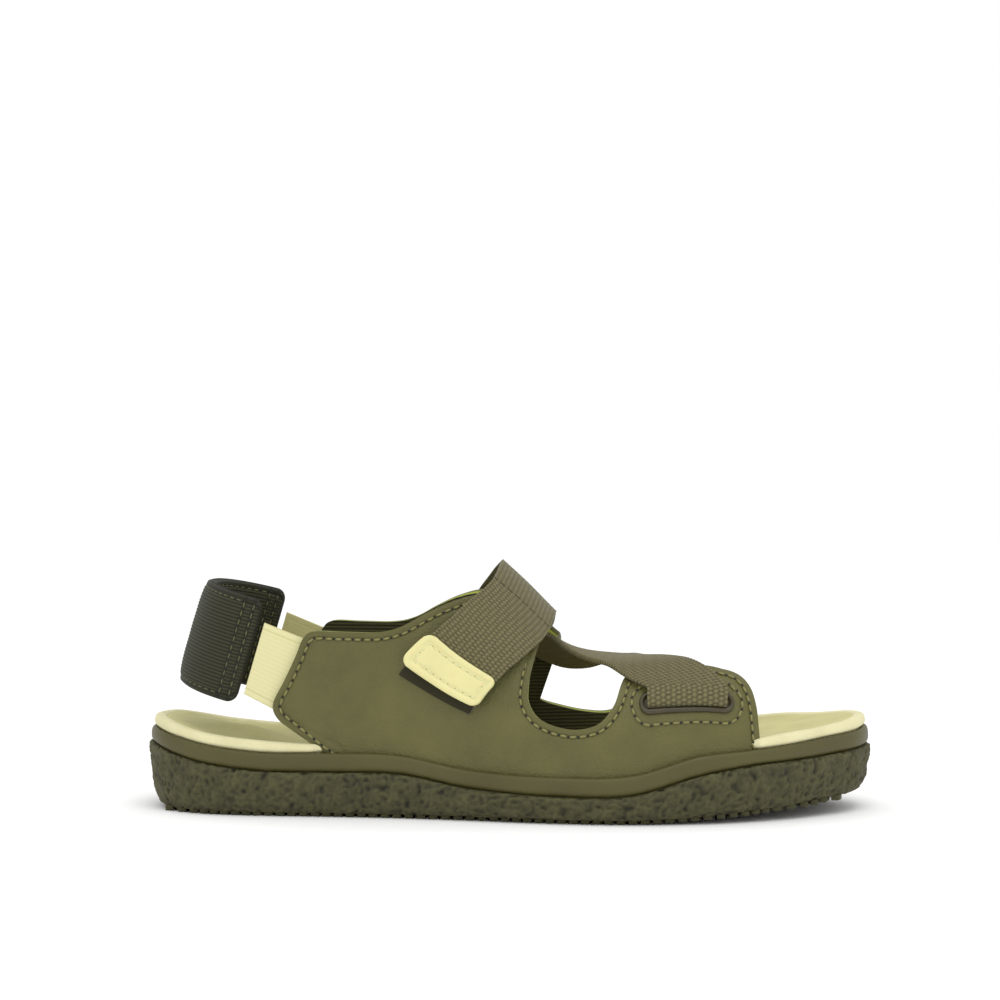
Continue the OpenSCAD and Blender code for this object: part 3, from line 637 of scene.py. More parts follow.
footbed = wear(ring_solid("footbed_foam", stacked([
    seat(WALL_IN + 0.2, BED_IN + 0.3, line(RAND_TOP, 1.6 - SEAT_DEPTH)),
    seat(WALL_IN + 0.2, BED_IN + 0.3, line(RAND_TOP, -0.3)),
    seat(RIM_INSET + 1.4, BED_IN, line(RAND_TOP, 0.05)),
    seat(RIM_INSET - 0.1, BED_IN, line(RAND_TOP, 0, RIM, 0.28)),
    seat(RIM_INSET + 0.1, BED_IN + 0.1, line(RIM, -1.1)),
    seat(RIM_INSET + 0.8, BED_IN + 0.6, line(RIM, -0.25)),
    seat(RIM_INSET + 1.9, BED_IN + 1.4, line(RIM, 0.0)),
    seat(RIM_INSET + 3.2, BED_IN + 2.3, line(RIM, -0.1)),
    seat(RIM_INSET + RIM_W, BED_IN + RIM_W - 1, line(RIM, -0.7)),
    seat(RIM_INSET + RIM_W + 0.3, BED_IN + RIM_W - 0.8, line(RIM, -0.7 - SOCK_T))]
    + bowl(BOWL, -0.1 - SOCK_T), 3)), EVA)
sock = wear(ring_solid("footbed_cover", stacked(
    bowl(BOWL[::-1], -SOCK_T)
    + [seat(RIM_INSET + RIM_W + 0.3, BED_IN + RIM_W - 0.8, line(RIM, -0.8 - SOCK_T)),
       seat(RIM_INSET + RIM_W + 0.1, BED_IN + RIM_W - 0.9, line(RIM, -0.75))]
    + bowl(BOWL, 0), 3)), SOCK)

# %% [markdown]
# ## The foot inside
# The upper is wrapped on a last, so the last comes first: at each x its section is a rounded arch, as wide
# as the seat and as high as the instep. A point on it is named by x and by the turn round the foot: 0 is the
# outer side, 90 the top and 180 the inner side. Leather, straps and seams are all drawn on it in these terms.

# %% The last's surface
FOOT_TOP = [230, 200, 165, 126, 98, 78.5, 60, 55, 55.5, 56, 52, 44]
seat_line = ring(UPPER_IN, 0.0)
OUTER_X, OUTER_Y = seat_line[:HALF + 1, 0], -seat_line[:HALF + 1, 1]
back_half = seat_line[(-np.arange(HALF + 1)) % ROUND]
INNER_X, INNER_Y = back_half[:, 0], back_half[:, 1]


def seat_z(x):
    return np.interp(x, OUTLINE[:HALF + 1, 0], OUTLINE[:HALF + 1, RAND_TOP]) - SEAT_DEPTH + 0.3


def foot_rise(x):
    return smooth_at(FOOT_TOP, x / KX, -100, 20) - seat_z(x)


def foot_power(x):
    return mix(2.6, 3.4, np.clip(x / KX / 60, 0, 1))


def foot(x, turn):
    x, turn = np.broadcast_arrays(np.asarray(x, float), np.asarray(turn, float))
    c, s = np.cos(np.radians(turn)), np.sin(np.radians(turn))
    e = 2 / foot_power(x)
    half_width = np.where(c > 0, -np.interp(x, OUTER_X, OUTER_Y), np.interp(x, INNER_X, INNER_Y))
    return np.stack([x, half_width * np.abs(c) ** e, seat_z(x) + foot_rise(x) * np.maximum(s, 0) ** e], -1)


def foot_normal(x, turn):
    b = np.clip(turn, 9, 171)
    n = np.cross(foot(x + 5, b) - foot(x - 5, b), foot(x, b + 4) - foot(x, b - 4))
    return n / np.linalg.norm(n, axis=-1)[..., None]


def off_foot(x, turn, d):
    x, turn = np.broadcast_arrays(np.asarray(x, float), np.asarray(turn, float))
    return foot(x, turn) + np.asarray(d, float)[..., None] * foot_normal(x, turn)


def turn_at(x, z):
    share = np.clip((z - seat_z(x)) / foot_rise(x), 0, 0.975)
    return np.degrees(np.arcsin(share ** (foot_power(x) / 2)))


# %% [markdown]
# ## Quarters
# Each quarter is three layers: leather outside, a thin foam and a ribbed lining. Its free edge runs from the
# rear foot, over the ankle and the instep, round the cut-out and down to the toe. The panel is built from
# fibres that run from the sole up to that edge, closer together near the edge so that the row of stitches
# can sink into the leather, as the thread pulls it down.

# %% Free edges of the quarters
QUARTER_REAR = [
    [-61, -61, 23.8], [-60.5, -68, 27.2], [-59.5, -76, 31.2], [-58, -82, 35.5], [-56, -83.8, 41.0],
    [-54, -79.8, 49.5], [-52, -75.6, 58.5], [-50, -72.9, 65.0], [-48, -69, 67.6], [-44, -58, 67.4],
    [-38, -45, 67.4], [-31, -37, 69.2], [-24, -28.5, 73.6], [-18, -20.5, 77.0], [-12, -12, 78.6],
    [-7, -3.5, 76.8]]
QUARTER_OUTER = QUARTER_REAR + [
    [-3, 5, 70.0], [1, 10.6, 62.5], [4, 10.4, 56.0], [7, 9.6, 49.0], [10, 9.8, 42.6], [14, 13.4, 37.2],
    [19, 20, 34.0], [27, 28, 33.0], [34, 35.4, 35.0], [40, 40.6, 40.6], [45, 44.5, 48.8], [52, 53, 52.6],
    [61, 63, 52.8], [70, 74, 52.0], [77, 82.6, 50.4], [84, 87.4, 46.8], [88, 89.6, 41.0], [90, 90.4, 34.0],
    [91.5, 91, 27.0]]
QUARTER_INNER = QUARTER_REAR + [
    [-3, 7, 71.0], [0, 15.4, 63.0], [2, 17, 56.0], [4, 11, 48.6], [6, 7.6, 42.6], [10, 10.4, 37.4],
    [17, 19.6, 34.1], [26, 29.5, 32.0], [35, 38, 31.8], [44, 47, 35.4], [51, 54.5, 41.6], [58, 62, 46.0],
    [67, 72, 47.4], [76, 82, 45.4], [82, 87, 40.6], [86, 89.5, 34.0], [89, 91, 27.0]]
SEAM_IN = 2.7          # from the free edge to the row of stitches
OUTER, INNER = 1, -1


def panel_places(edge, steps, rows):
    """x and turn of each point of a panel, from the sole to the free edge."""
    cols = through(edge, steps)
    v = 1 - (1 - np.linspace(0, 1, rows + 1)) ** 1.7
    x0 = cols[:, :1] * KX
    x = mix(x0, cols[:, 1:2] * KX, v)
    return x, turn_at(x, mix(seat_z(x0), cols[:, 2:3], v))


def on_side(side, turn):
    return turn if side == OUTER else 180 - turn


def edge_distance(points):
    """Millimetres from each point of a panel's grid to its free edge."""
    tree = KDTree(len(points))
    for i, p in enumerate(points[:, -1]):
        tree.insert(p, i)
    tree.balance()
    return np.array([tree.find(p)[2] for p in points.reshape(-1, 3)]).reshape(points.shape[:2])


def panel(name, edge, side, low, high, steps, rows, sunk=0.0, material=None):
    x, turn = panel_places(edge, steps, rows)
    turn = on_side(side, turn)
    outer = off_foot(x, turn, np.full(x.shape, high))
    if sunk:
        away = edge_distance(outer)
        soft = np.array([noise.noise(Vector(p) / 17) for p in outer.reshape(-1, 3)]).reshape(x.shape)
        dip = sunk * bump(away - SEAM_IN, 0.8) - 0.25 * soft * np.clip(away / 8 - 0.5, 0, 1)
        outer = off_foot(x, turn, high - dip)
    inner = off_foot(x, turn, np.full(x.shape, low))
    if side == INNER:
        outer, inner = outer[::-1], inner[::-1]
    return wear(round_edges(grid_solid(name, outer, inner), 0.35), material)


# Name, packed layer, from and to height on the last, steps along, rows up, sinking of the seam, material
LAYERS = (("skin", "leather", LINING_T + FOAM_T, STACK, 8, 40, 0.35, LEATHER),
          ("padding", "foam", LINING_T, LINING_T + FOAM_T, 4, 12, 0.0, FOAM),
          ("knit", "lining", 0.0, LINING_T, 6, 24, 0.0, KNIT))
quarters = []
for side, word, edge in ((OUTER, "outer", QUARTER_OUTER), (INNER, "inner", QUARTER_INNER)):
    for made_as, layer, low, high, steps, rows, sunk, material in LAYERS:
        piece = panel(f"quarter_{word}_{made_as}", edge, side, low, high, steps, rows, sunk, material)
        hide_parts(f"quarter_{word}_{layer}")
        quarters.append(piece)
        print(piece.name, len(piece.data.polygons), "faces")


# %% [markdown]
# ## Which body each piece rides on
# The imported model has four bodies: the shoe, the strap's flap, the heel's arms and its sleeve. One helper
# says which of them a piece rides on, and the imported nodes that it stands for.

# %% Sole pieces on the shoe
def stand_for(obj, body, slot, *nodes):
    if body:
        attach(obj, body)
    if nodes:
        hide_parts(*nodes)
    return obj


stand_for(outsole, "shoe", "outsole_rubber", "outsole")
stand_for(tread, "shoe", "outsole_rubber")
stand_for(rand, "shoe", "rand_rubber", "rand")
stand_for(footbed, "shoe", "footbed_foam", "footbed")
stand_for(sock, "shoe", "sock_leather", "footbed_sock")
for piece in quarters:
    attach(piece, "shoe")

# %% [markdown]
# ## Slots and their frames
# The webbing passes through two slots, each with a moulded nylon frame pressed on the leather. A frame is a
# half-round bar run round the slot, so it is a grid closed in both directions. Places near a slot are given
# in millimetres along it and round the foot from its middle.

# %% A loop round a slot
OUTER_SLOT, INNER_SLOT = [51.4, 31, 80.2, 24.8], [-17.5, 141, 10.5, 141]
WEBBING_T, SLOT_GAP, RIM_T, GAP = 1.8, 0.5, 1.2, 0.1
LIFT_ROOM, TURN_ROOM = 0.6, 1.9
OUTER_SLOT_T, INNER_SLOT_T = (WEBBING_T + 2 * SLOT_GAP + room for room in (LIFT_ROOM, TURN_ROOM))


def slot_pitch(slot):
    x, turn = (slot[0] + slot[2]) / 2 * KX, (slot[1] + slot[3]) / 2
    return np.linalg.norm(foot(x, turn + 1) - foot(x, turn - 1)) / 2


def by_slot(slot, along, round_foot, d):
    ends = foot(np.array([slot[0], slot[2]]) * KX, np.array([slot[1], slot[3]]))
    t = along / np.linalg.norm(ends[1] - ends[0]) + 0.5
    x, turn = mix(slot[0], slot[2], t) * KX, mix(slot[1], slot[3], t) + round_foot / slot_pitch(slot)
    return off_foot(x, turn, np.full(np.shape(x), d) if np.ndim(d) == 0 else d), foot_normal(x, turn)


def round_slot(slot, half_width, out):
    """Rounded loop round a slot: places along it and round the foot, out millimetres from its sides."""
    ends = foot(np.array([slot[0], slot[2]]) * KX, np.array([slot[1], slot[3]]))
    half = np.linalg.norm(ends[1] - ends[0]) / 2
    corner = half_width + out
    straight = half + out - corner
    arc = np.linspace(-math.pi / 2, math.pi / 2, 25)
    side = np.linspace(straight, -straight, 40)[1:-1]
    p = np.concatenate([straight + corner * np.cos(arc), side, -straight - corner * np.cos(arc), -side])
    q = np.concatenate([corner * np.sin(arc), 0 * side + corner, -corner * np.sin(arc), 0 * side - corner])
    return p, q


def swept_ring(name, rings):
    """Solid bar whose rows of section points close along the bar and round the section."""
    n, m = rings.shape[:2]
    faces = [(i * m + j, (i + 1) % n * m + j, (i + 1) % n * m + (j + 1) % m, i * m + (j + 1) % m)
             for i in range(n) for j in range(m)]
    return new_object(name, rings.reshape(-1, 3), faces)


def slot_frame(name, slot, width):
    section = [(0.9 - 0.9 * math.cos(t), RIM_T * math.sin(t)) for t in np.linspace(0, math.pi, 9)]
    # The section then runs in across the slot and closes it with a dark floor: painted shade where the slot
    # opens.
    section += [(1.6, -0.5), (0.05 - width / 2, -0.5), (0.05 - width / 2, 0.35), (-0.2, 0.35)]
    rows = []
    for out, high in section:
        p, q = round_slot(slot, width / 2, out)
        rows.append(by_slot(slot, p, q, STACK + GAP + high)[0])
    return wear(swept_ring(name, np.stack(rows, 1)), NYLON)


for word, slot, width in (("outer", OUTER_SLOT, OUTER_SLOT_T), ("inner", INNER_SLOT, INNER_SLOT_T)):
    stand_for(slot_frame(f"slot_frame_{word}", slot, width), "shoe", "rim_plastic", f"slot_rim_{word}")

# %% [markdown]
# ## Webbing
# One strap comes up out of the outer slot, crosses the forefoot, turns through the inner slot and comes back
# over the instep to the flap. Its route is a list of rows from edge to edge. The rows are joined by a smooth
# curve and spread evenly, and the woven yarns are then raised on the upper face: each yarn is a small pillow,
# and every second column is half a step along, as in a real belt weave.

# %% Routes of the strap
FORE_ROUTE = [
    [52.6, 38.5, 78.8, 32.5, 6.0], [45, 48, 75, 44, 5.4], [37.8, 58, 68.4, 57, 5.0], [30.5, 67, 60, 73, 2.8],
    [23.5, 78, 51, 89, 1.0], [16.5, 91, 41, 104, 0.1], [9, 103, 31, 116, -2.7], [1, 114, 22, 126, -3.4],
    [-8, 126, 14, 132, -3.5], [-15, 134, 9.4, 135.5, -3.3]]
INSTEP_ROUTE = [
    [-16, 136.5, 9, 136.5, 5.9], [-14, 129, 10.8, 129, 5.4], [-11, 117, 12.4, 117, 5.6],
    [-9, 103, 11.8, 103, 6.8], [-8, 90, 11.8, 90, 7.2], [-7.6, 79, 12.2, 79, 6.4],
    [-7.8, 69.8, 12.6, 69.8, 5.2]]
FLAP_ROUTE = [
    [-7.9, 68.8, 12.5, 68.8, 5.2], [-9.8, 60, 12, 63, 5.1], [-12.6, 52, 11, 56, 5.4],
    [-15.8, 44.8, 8.6, 46.8, 6.0], [-18.8, 38.4, 5.7, 39, 6.4], [-22, 33.2, 2.4, 32.8, 6.5],
    [-25.3, 28.4, -1, 27, 6.5],
    [-30.5, 22.2, -4.8, 21.4, 6.5], [-35.6, 16.4, -8.3, 16, 6.5]]
ACROSS = np.linspace(-1, 1, 62)
WEBBING_W = 29


def across(row, d, t=ACROSS):
    xm, am = (row[0] + row[2]) / 2, (row[1] + row[3]) / 2
    x, a = (xm + t * (row[2] - row[0]) / 2) * KX, am + t * (row[3] - row[1]) / 2
    return off_foot(x, a, np.full(t.shape, d))


def route_rows(route, d, steps=3, t=ACROSS):
    return [across(r, r[4] + d, t) for r in through(route, steps)]


def slot_row(slot, v, d):
    a = v / slot_pitch(slot)
    return across([slot[0] + 1.2, slot[1] + a, slot[2] - 1.4, slot[3] + a], d)


ROOT_TURN = [[[-0.85, -3.9], [0.5, -3.9]], [[-0.85, -0.2], [0.5, -0.9]],
             [[-0.55, 1.3], [0.6, 0.08]], [[0.6, 2.2], [1.1, 0.4]]]
RIM_TOP = STACK + GAP + RIM_T
TURN_R = (RIM_TOP + GAP) / 2 + 0.2
BAR_IN = 0.68          # how far the turn's centre lies from the slot's middle, in radii


def turn_rows(radius):
    angles = np.radians(np.arange(-70, 71, 17.5))
    return [slot_row(INNER_SLOT, radius * math.cos(s) - TURN_R * BAR_IN - WEBBING_T / 2,
                     RIM_TOP / 2 + radius * math.sin(s)) for s in angles]


def strap_faces(face):
    upper = face == "upper"
    root = [slot_row(OUTER_SLOT, r[0 if upper else 1][0] * WEBBING_T, RIM_TOP + r[0 if upper else 1][1])
            for r in ROOT_TURN]
    return np.array(root + route_rows(FORE_ROUTE, WEBBING_T if upper else 0)
                    + turn_rows(TURN_R if upper else TURN_R + WEBBING_T)
                    + route_rows(INSTEP_ROUTE, 0 if upper else WEBBING_T))


def evened(upper, under, step):
    """Both faces of a strap on rows that are the same distance apart along it, and those distances."""
    up, low = (through(f.reshape(len(f), -1), 5).reshape(-1, *f.shape[1:]) for f in (upper, under))
    mid = (up + low)[:, up.shape[1] // 2] / 2
    run = np.append(0, np.cumsum(np.linalg.norm(np.diff(mid, axis=0), axis=1)))
    s = np.linspace(0, run[-1], int(run[-1] / step) + 1)
    k = np.clip(np.searchsorted(run, s, "right") - 1, 0, len(run) - 2)
    t = ((s - run[k]) / np.maximum(run[k + 1] - run[k], 1e-9))[:, None, None]
    return mix(up[k], up[k + 1], t), mix(low[k], low[k + 1], t), s


YARN_ACROSS, YARN_ALONG, YARN_RAISED = 1.9, 1.35, 0.3
YARN_ROW = 0.42        # distance between two rows of the webbing's grid


def yarns(s, half_width=WEBBING_W / 2):
    """Height of the woven yarns, 0 to 1, on rows at s."""
    q = ACROSS[None, :] * half_width
    column = np.floor(q / YARN_ACROSS)
    u = q / YARN_ACROSS - column
    v = s[:, None] / YARN_ALONG + 0.5 * (column % 2) + 0.25 * np.abs(u - 0.5)
    pillow = np.abs(np.sin(math.pi * v)) ** 0.8 * np.sin(math.pi * u) ** 0.6
    return np.clip(pillow, 0, 1)


def webbing_piece(name, upper, under):
    up, low, s = evened(upper, under, YARN_ROW)
    height = yarns(s)
    out = up - low
    out /= np.linalg.norm(out, axis=-1)[..., None]
    q = ACROSS * WEBBING_W / 2
    uv = np.stack(np.broadcast_arrays(s[:, None], q[None, :]), -1)
    solid = grid_solid(name, up + (height - 0.6)[..., None] * YARN_RAISED * out,
                       low - (height - 0.6)[..., None] * YARN_RAISED * 0.5 * out, uv, height)
    # The yarn height is kept on both faces and colours the webbing: painted shade where the yarns dive,
    # painted light on their crowns.
    solid.data.attributes["relief"].data.foreach_set(
        "value", np.append(height.ravel(), height.ravel()).astype(np.float32))
    return wear(solid, WEBBING)


# After the turn through the inner slot the strap's other face looks up, so both faces are woven alike.
strap = stand_for(webbing_piece("strap_webbing", strap_faces("upper"), strap_faces("under")),
                  "shoe", "webbing", "webbing")
print("strap", len(strap.data.polygons), "faces")

# %% [markdown]
# ## Flap
# The strap's end peels off. The real fold is a few millimetres of webbing that bends; here the flap's
# webbing is one fixed piece along the flap's route.

# %% The flap's webbing
flap_top = np.array(route_rows(FLAP_ROUTE, WEBBING_T))
flap_under = np.array(route_rows(FLAP_ROUTE, 0))
flap = webbing_piece("strap_flap_webbing", flap_top, flap_under)
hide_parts("webbing_flap")
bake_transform(flap)

# %% [markdown]
# ## Tab
# The strap ends in a soft moulded tab with round corners and a raised plain border, sewn on all round. It is
# a grid over the flap's end whose rows are shorter near both ends, which rounds the corners.

# %% The tab
TAB_T, TAB_R, TAB_BORDER, TAB_SEAM = 1.6, 3.2, 1.7, 3.1
tab_rows = through(FLAP_ROUTE, 8)[6 * 8:]
TAB_N, TAB_M = 70, 60
tab_pick = np.linspace(0, len(tab_rows) - 1, TAB_N)
tab_route = np.stack([np.interp(tab_pick, np.arange(len(tab_rows)), column) for column in tab_rows.T], 1)
tab_mid = np.array([across(r, r[4], np.zeros(1))[0] for r in tab_route])
tab_run = np.append(0, np.cumsum(np.linalg.norm(np.diff(tab_mid, axis=0), axis=1)))
TAB_L, TAB_HALF = tab_run[-1], WEBBING_W / 2 + 0.8


def tab_half(run):
    """Half width of the tab at a distance along it."""
    e = np.clip(TAB_R - np.minimum(run, TAB_L - run), 0, TAB_R)
    return TAB_HALF - TAB_R + np.sqrt(np.maximum(TAB_R**2 - e**2, 0.01))


def on_tab(run, q, d):
    """Point of the tab at a distance along it, q millimetres from its middle line."""
    p = np.interp(run, tab_run, np.arange(TAB_N))
    row = [np.interp(p, np.arange(TAB_N), tab_route[:, c]) for c in range(5)]
    t = q / (WEBBING_W / 2)
    x = ((row[0] + row[2]) / 2 + t * (row[2] - row[0]) / 2) * KX
    a = (row[1] + row[3]) / 2 + t * (row[3] - row[1]) / 2
    return off_foot(x, a, row[4] + d), foot_normal(x, a)


run = TAB_L * (0.5 - 0.5 * np.cos(np.linspace(0, math.pi, TAB_N)))[:, None]
v = np.sin(np.linspace(-math.pi / 2, math.pi / 2, TAB_M))[None, :]
q = v * tab_half(run)
edge_in = np.minimum(np.minimum(run, TAB_L - run), tab_half(run) - np.abs(q))
border = np.clip((TAB_BORDER + 0.5 - edge_in) / 0.5, 0, 1)
border = border * border * (3 - 2 * border)
rounded = np.clip(edge_in / 0.7, 0, 1)
lift = TAB_T - 0.3 + 0.3 * border - 0.5 * (1 - rounded) ** 2 - 0.3 * bump(edge_in - TAB_SEAM, 0.6)
run_all = np.broadcast_to(run, q.shape)
tab = wear(grid_solid("strap_tab_moulded", on_tab(run_all, q, WEBBING_T + GAP + lift)[0],
                      on_tab(run_all, q, np.full(q.shape, WEBBING_T + GAP * 0.5))[0]), TPU)
stand_for(tab, "flap", "tab_plastic", "strap_tab")
print("tab", round(float(TAB_L), 1), "mm long")

# %% [markdown]
# ## Elastics
# A wide knitted elastic on each side joins the heel sleeve to a pocket behind the leather. Fine ribs run
# along it, and a flat selvedge closes each edge. It stretches and swings; here it is one fixed piece from the
# sleeve to the pocket.

# %% The two elastics
HEEL_X, HEEL_Y, HEEL_A, HEEL_B, HEEL_END = -93.8, -1, 22.5, 29, 93
HEEL_Z, HEEL_FALL, HEEL_LEAN = 66.1, 0.26, 0.29
ELASTIC_BACK, ELASTIC_FRONT, ELASTIC_LEAN = np.array([-91.4, 57.8]), np.array([-78.8, 52.1]), 0.42
ELASTIC_W, ELASTIC_T = 26, 1.1
POCKET_IN, CANT = {OUTER: 0.08, INNER: -0.03}, {OUTER: 0.005, INNER: 0.038}
SELVEDGE_W, KNIT_RIB, KNIT_LOOP, ELASTIC_L, ELASTIC_MAP_L = 2.1, 1.45, 1.1, 15.6, 14


def on_elastic(side, u, v, d):
    x = ELASTIC_FRONT[0] * KX
    inset = LINING_T + ELASTIC_T / 2 + POCKET_IN[side]
    wall_y = -np.interp(x, OUTER_X, OUTER_Y) if side == OUTER else np.interp(x, INNER_X, INNER_Y)
    front = wall_y - side * inset
    y = mix((HEEL_Y - side * HEEL_B) * KY, front, np.clip(u, 0, 1)) - side * d
    mid_x, mid_z = (mix(ELASTIC_BACK[k], ELASTIC_FRONT[k], u) for k in (0, 1))
    x = mid_x * KX + v * mix(HEEL_LEAN, ELASTIC_LEAN, u)
    return np.stack([x, y + side * v * CANT[side], mid_z + v], -1)


for side, word in ((OUTER, "outer"), (INNER, "inner")):
    u, v = np.meshgrid(np.linspace(0.02, 1.04, 44), np.linspace(-ELASTIC_W / 2, ELASTIC_W / 2, 110),
                       indexing="ij")
    from_edge = ELASTIC_W / 2 - np.abs(v)
    rib = 0.5 + 0.5 * np.cos(2 * math.pi * v / KNIT_RIB)
    loops = 0.5 + 0.5 * np.cos(2 * math.pi * u * ELASTIC_L / KNIT_LOOP)
    # This height also colours the knit: painted shade in the rib hollows, in the groove by the selvedge and
    # at the very edges; painted light on the ribs.
    height = np.where(from_edge > SELVEDGE_W, 0.5 + 0.25 * rib + 0.2 * loops, 0.8)
    height = height * np.clip(from_edge / 0.4, 0, 1)
    height = np.clip(height - 0.5 * bump(from_edge - SELVEDGE_W, 0.3), 0, 1)
    outer = on_elastic(side, u, v, ELASTIC_T / 2 - 0.08 + 0.09 * height)
    inner = on_elastic(side, u, v, -ELASTIC_T / 2 + 0.08 - 0.09 * height)
    uv = np.stack([u * ELASTIC_MAP_L, v], -1)
    elastic = wear(grid_solid(f"elastic_{word}_knit", outer, inner, uv, height), ELASTIC)
    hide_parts(f"elastic_{word}")
    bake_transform(elastic)

# %% [markdown]
# ## Heel sleeve
# The heel strap is two layers of corded stretch fabric round a foam pad, sewn along both edges and at the
# ends. Each half is a crowned sheet: full in the middle, thin at its seams, with round corners. The foam
# never shows, so it is the fullness of the two halves and not a piece of its own.

# %% The sleeve's two halves
SLEEVE_H, SLEEVE_R, SLEEVE_HALF, SLEEVE_EDGE_T = 38, 4.0, 2.6, 0.75
SLEEVE_RIB, SLEEVE_SEAM, END_SEAMS = 1.22, 2.3, (3.0, 6.5)
turns = np.linspace(HEEL_END, -HEEL_END, 400)


def heel(p, v, d):
    c, s = np.cos(np.radians(p)), np.sin(np.radians(p))
    x, y = HEEL_X - (HEEL_A + d) * c, HEEL_Y + (HEEL_B + d) * s
    z = HEEL_Z - HEEL_FALL * (x - HEEL_X + HEEL_A)
    return np.stack(np.broadcast_arrays(x * KX + HEEL_LEAN * v, y * KY, z + v), -1)


heel_mid = heel(turns, 0.0, 0.0)
heel_run = np.append(0, np.cumsum(np.linalg.norm(np.diff(heel_mid, axis=0), axis=1)))
SLEEVE_L = heel_run[-1]
share = np.linspace(0, 1, 132)
along = (SLEEVE_L * (share - 0.09 * np.sin(2 * math.pi * share)))[:, None]
corner = np.clip(SLEEVE_R - np.minimum(along, SLEEVE_L - along), 0, SLEEVE_R)
half_h = SLEEVE_H / 2 - SLEEVE_R + np.sqrt(np.maximum(SLEEVE_R**2 - corner**2, 0.02))
v = np.linspace(-1, 1, 150)[None, :] * half_h
p = np.interp(along, heel_run, turns)


def sleeve_height(run, v, half_height):
    """Distance to the sleeve's edge, and how full it is there, from 0 to 1."""
    end = np.minimum(run, SLEEVE_L - run)
    side = half_height - np.abs(v)
    edge = np.minimum(end, side)
    full = np.sqrt(1 - (1 - np.clip(side / 10, 0, 1)) ** 2) * np.sqrt(1 - (1 - np.clip(end / 9, 0, 1)) ** 2)
    return end, side, edge, full


end, side_in, edge_in, full = sleeve_height(along, v, half_h)
seams = bump(side_in - SLEEVE_SEAM, 0.5) * (edge_in > 1) + sum(bump(end - e, 0.55) for e in END_SEAMS)
soft = np.array([noise.noise(Vector((a / 15, b / 9, 2))) for a, b in
                 zip(np.broadcast_to(along, v.shape).ravel(), v.ravel())]).reshape(v.shape)
thick = mix(SLEEVE_EDGE_T, SLEEVE_HALF, full) - 0.45 * np.clip(seams, 0, 1) + 0.22 * soft * full
cords = 0.5 + 0.5 * np.cos(2 * math.pi * v / SLEEVE_RIB + 0.5 * soft)
# The cord relief also colours the fabric: painted shade in the cord hollows, along the seams and at the
# edges; painted light on the crowns.
cord_relief = np.clip(cords * np.clip(edge_in / 1.2, 0, 1) * (1 - 0.7 * np.clip(seams, 0, 1)), 0, 1)
rim = np.sqrt(np.clip(edge_in / 0.8, 0.0, 1))
uv = np.stack(np.broadcast_arrays(along + 0 * v, v), -1)
halves = []
for word, sign in (("outer", 1), ("inner", -1)):
    face = heel(p, v, sign * (thick * rim + 0.2 * cord_relief * rim))
    back = heel(p, v, sign * 0.02 + 0 * v)
    halves.append(wear(grid_solid(f"heel_sleeve_{word}", face, back, uv, cord_relief), CORDED))
    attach(halves[-1], "heel_sleeve")
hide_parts("sleeve_shell", "sleeve_padding")
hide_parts("sleeve_lining")
print("sleeve", round(float(SLEEVE_L), 1), "mm long")

# %% [markdown]
# ## Stitches
# A stitch repeats along a seam, so Geometry Nodes make them: a line with an up direction at each point is
# resampled to the stitch length, a rounded thread is put on each point, and between two a dark flat ball of
# painted shade for the needle hole.

# %% The stitch tree
stitch_tree, given = geometry_tree("Stitches", [
    ("Pitch", "NodeSocketFloat", 3.5 * MM), ("Thread length", "NodeSocketFloat", 2.7 * MM),
    ("Thread width", "NodeSocketFloat", 0.95 * MM), ("Thread", "NodeSocketMaterial", None),
    ("Hole shade", "NodeSocketMaterial", None)])
curve = add(stitch_tree, "GeometryNodeMeshToCurve", links={"Mesh": given["Geometry"]})
even = add(stitch_tree, "GeometryNodeResampleCurve", links={"Curve": curve.outputs[0]})
if "Mode" in even.inputs:
    even.inputs["Mode"].default_value = "Length"
else:
    even.mode = "LENGTH"
stitch_tree.links.new(given["Pitch"], even.inputs["Length"])
up = add(stitch_tree, "GeometryNodeInputNamedAttribute", {"data_type": "FLOAT_VECTOR"}, {"Name": "up"})
tangent = add(stitch_tree, "GeometryNodeInputTangent")
turned = add(stitch_tree, "FunctionNodeAxesToRotation", {"primary_axis": "Z", "secondary_axis": "X"},
             {0: up.outputs[0], 1: tangent.outputs[0]})
ball = add(stitch_tree, "GeometryNodeMeshUVSphere", links={"Segments": 10, "Rings": 8, "Radius": 0.5})
soft_ball = add(stitch_tree, "GeometryNodeSetShadeSmooth", links={"Geometry": ball.outputs[0]})
half_on = add(stitch_tree, "ShaderNodeVectorMath", {"operation": "SCALE"}, {
    0: tangent.outputs[0], "Scale": maths(stitch_tree, "MULTIPLY", given["Pitch"], 0.5)})
between = add(stitch_tree, "GeometryNodeSetPosition", links={
    "Geometry": even.outputs[0], "Offset": half_on.outputs[0]})
wide = given["Thread width"]
hole_depth = maths(stitch_tree, "MULTIPLY", wide, 0.3)
made = []
for points, size, material in ((even, (given["Thread length"], wide, wide), "Thread"),
                               (between, (wide, wide, hole_depth), "Hole shade")):
    scale = add(stitch_tree, "ShaderNodeCombineXYZ", links=dict(enumerate(size)))
    copies = add(stitch_tree, "GeometryNodeInstanceOnPoints", links={
        "Points": points.outputs[0], "Instance": soft_ball.outputs[0], "Rotation": turned.outputs[0],
        "Scale": scale.outputs[0]})
    real = add(stitch_tree, "GeometryNodeRealizeInstances", links={"Geometry": copies.outputs[0]})
    made.append(add(stitch_tree, "GeometryNodeSetMaterial", links={
        "Geometry": real.outputs[0], "Material": given[material]}))
join = add(stitch_tree, "GeometryNodeJoinGeometry")
for painted in made:
    stitch_tree.links.new(painted.outputs[0], join.inputs[0])
add(stitch_tree, "NodeGroupOutput", links={0: join.outputs[0]})


# %% Sew along lines of points
LEATHER_STITCH, TAB_STITCH, SLEEVE_STITCH = (3.5, 2.6, 0.95), (3.3, 2.4, 0.7), (3.2, 2.3, 0.65)


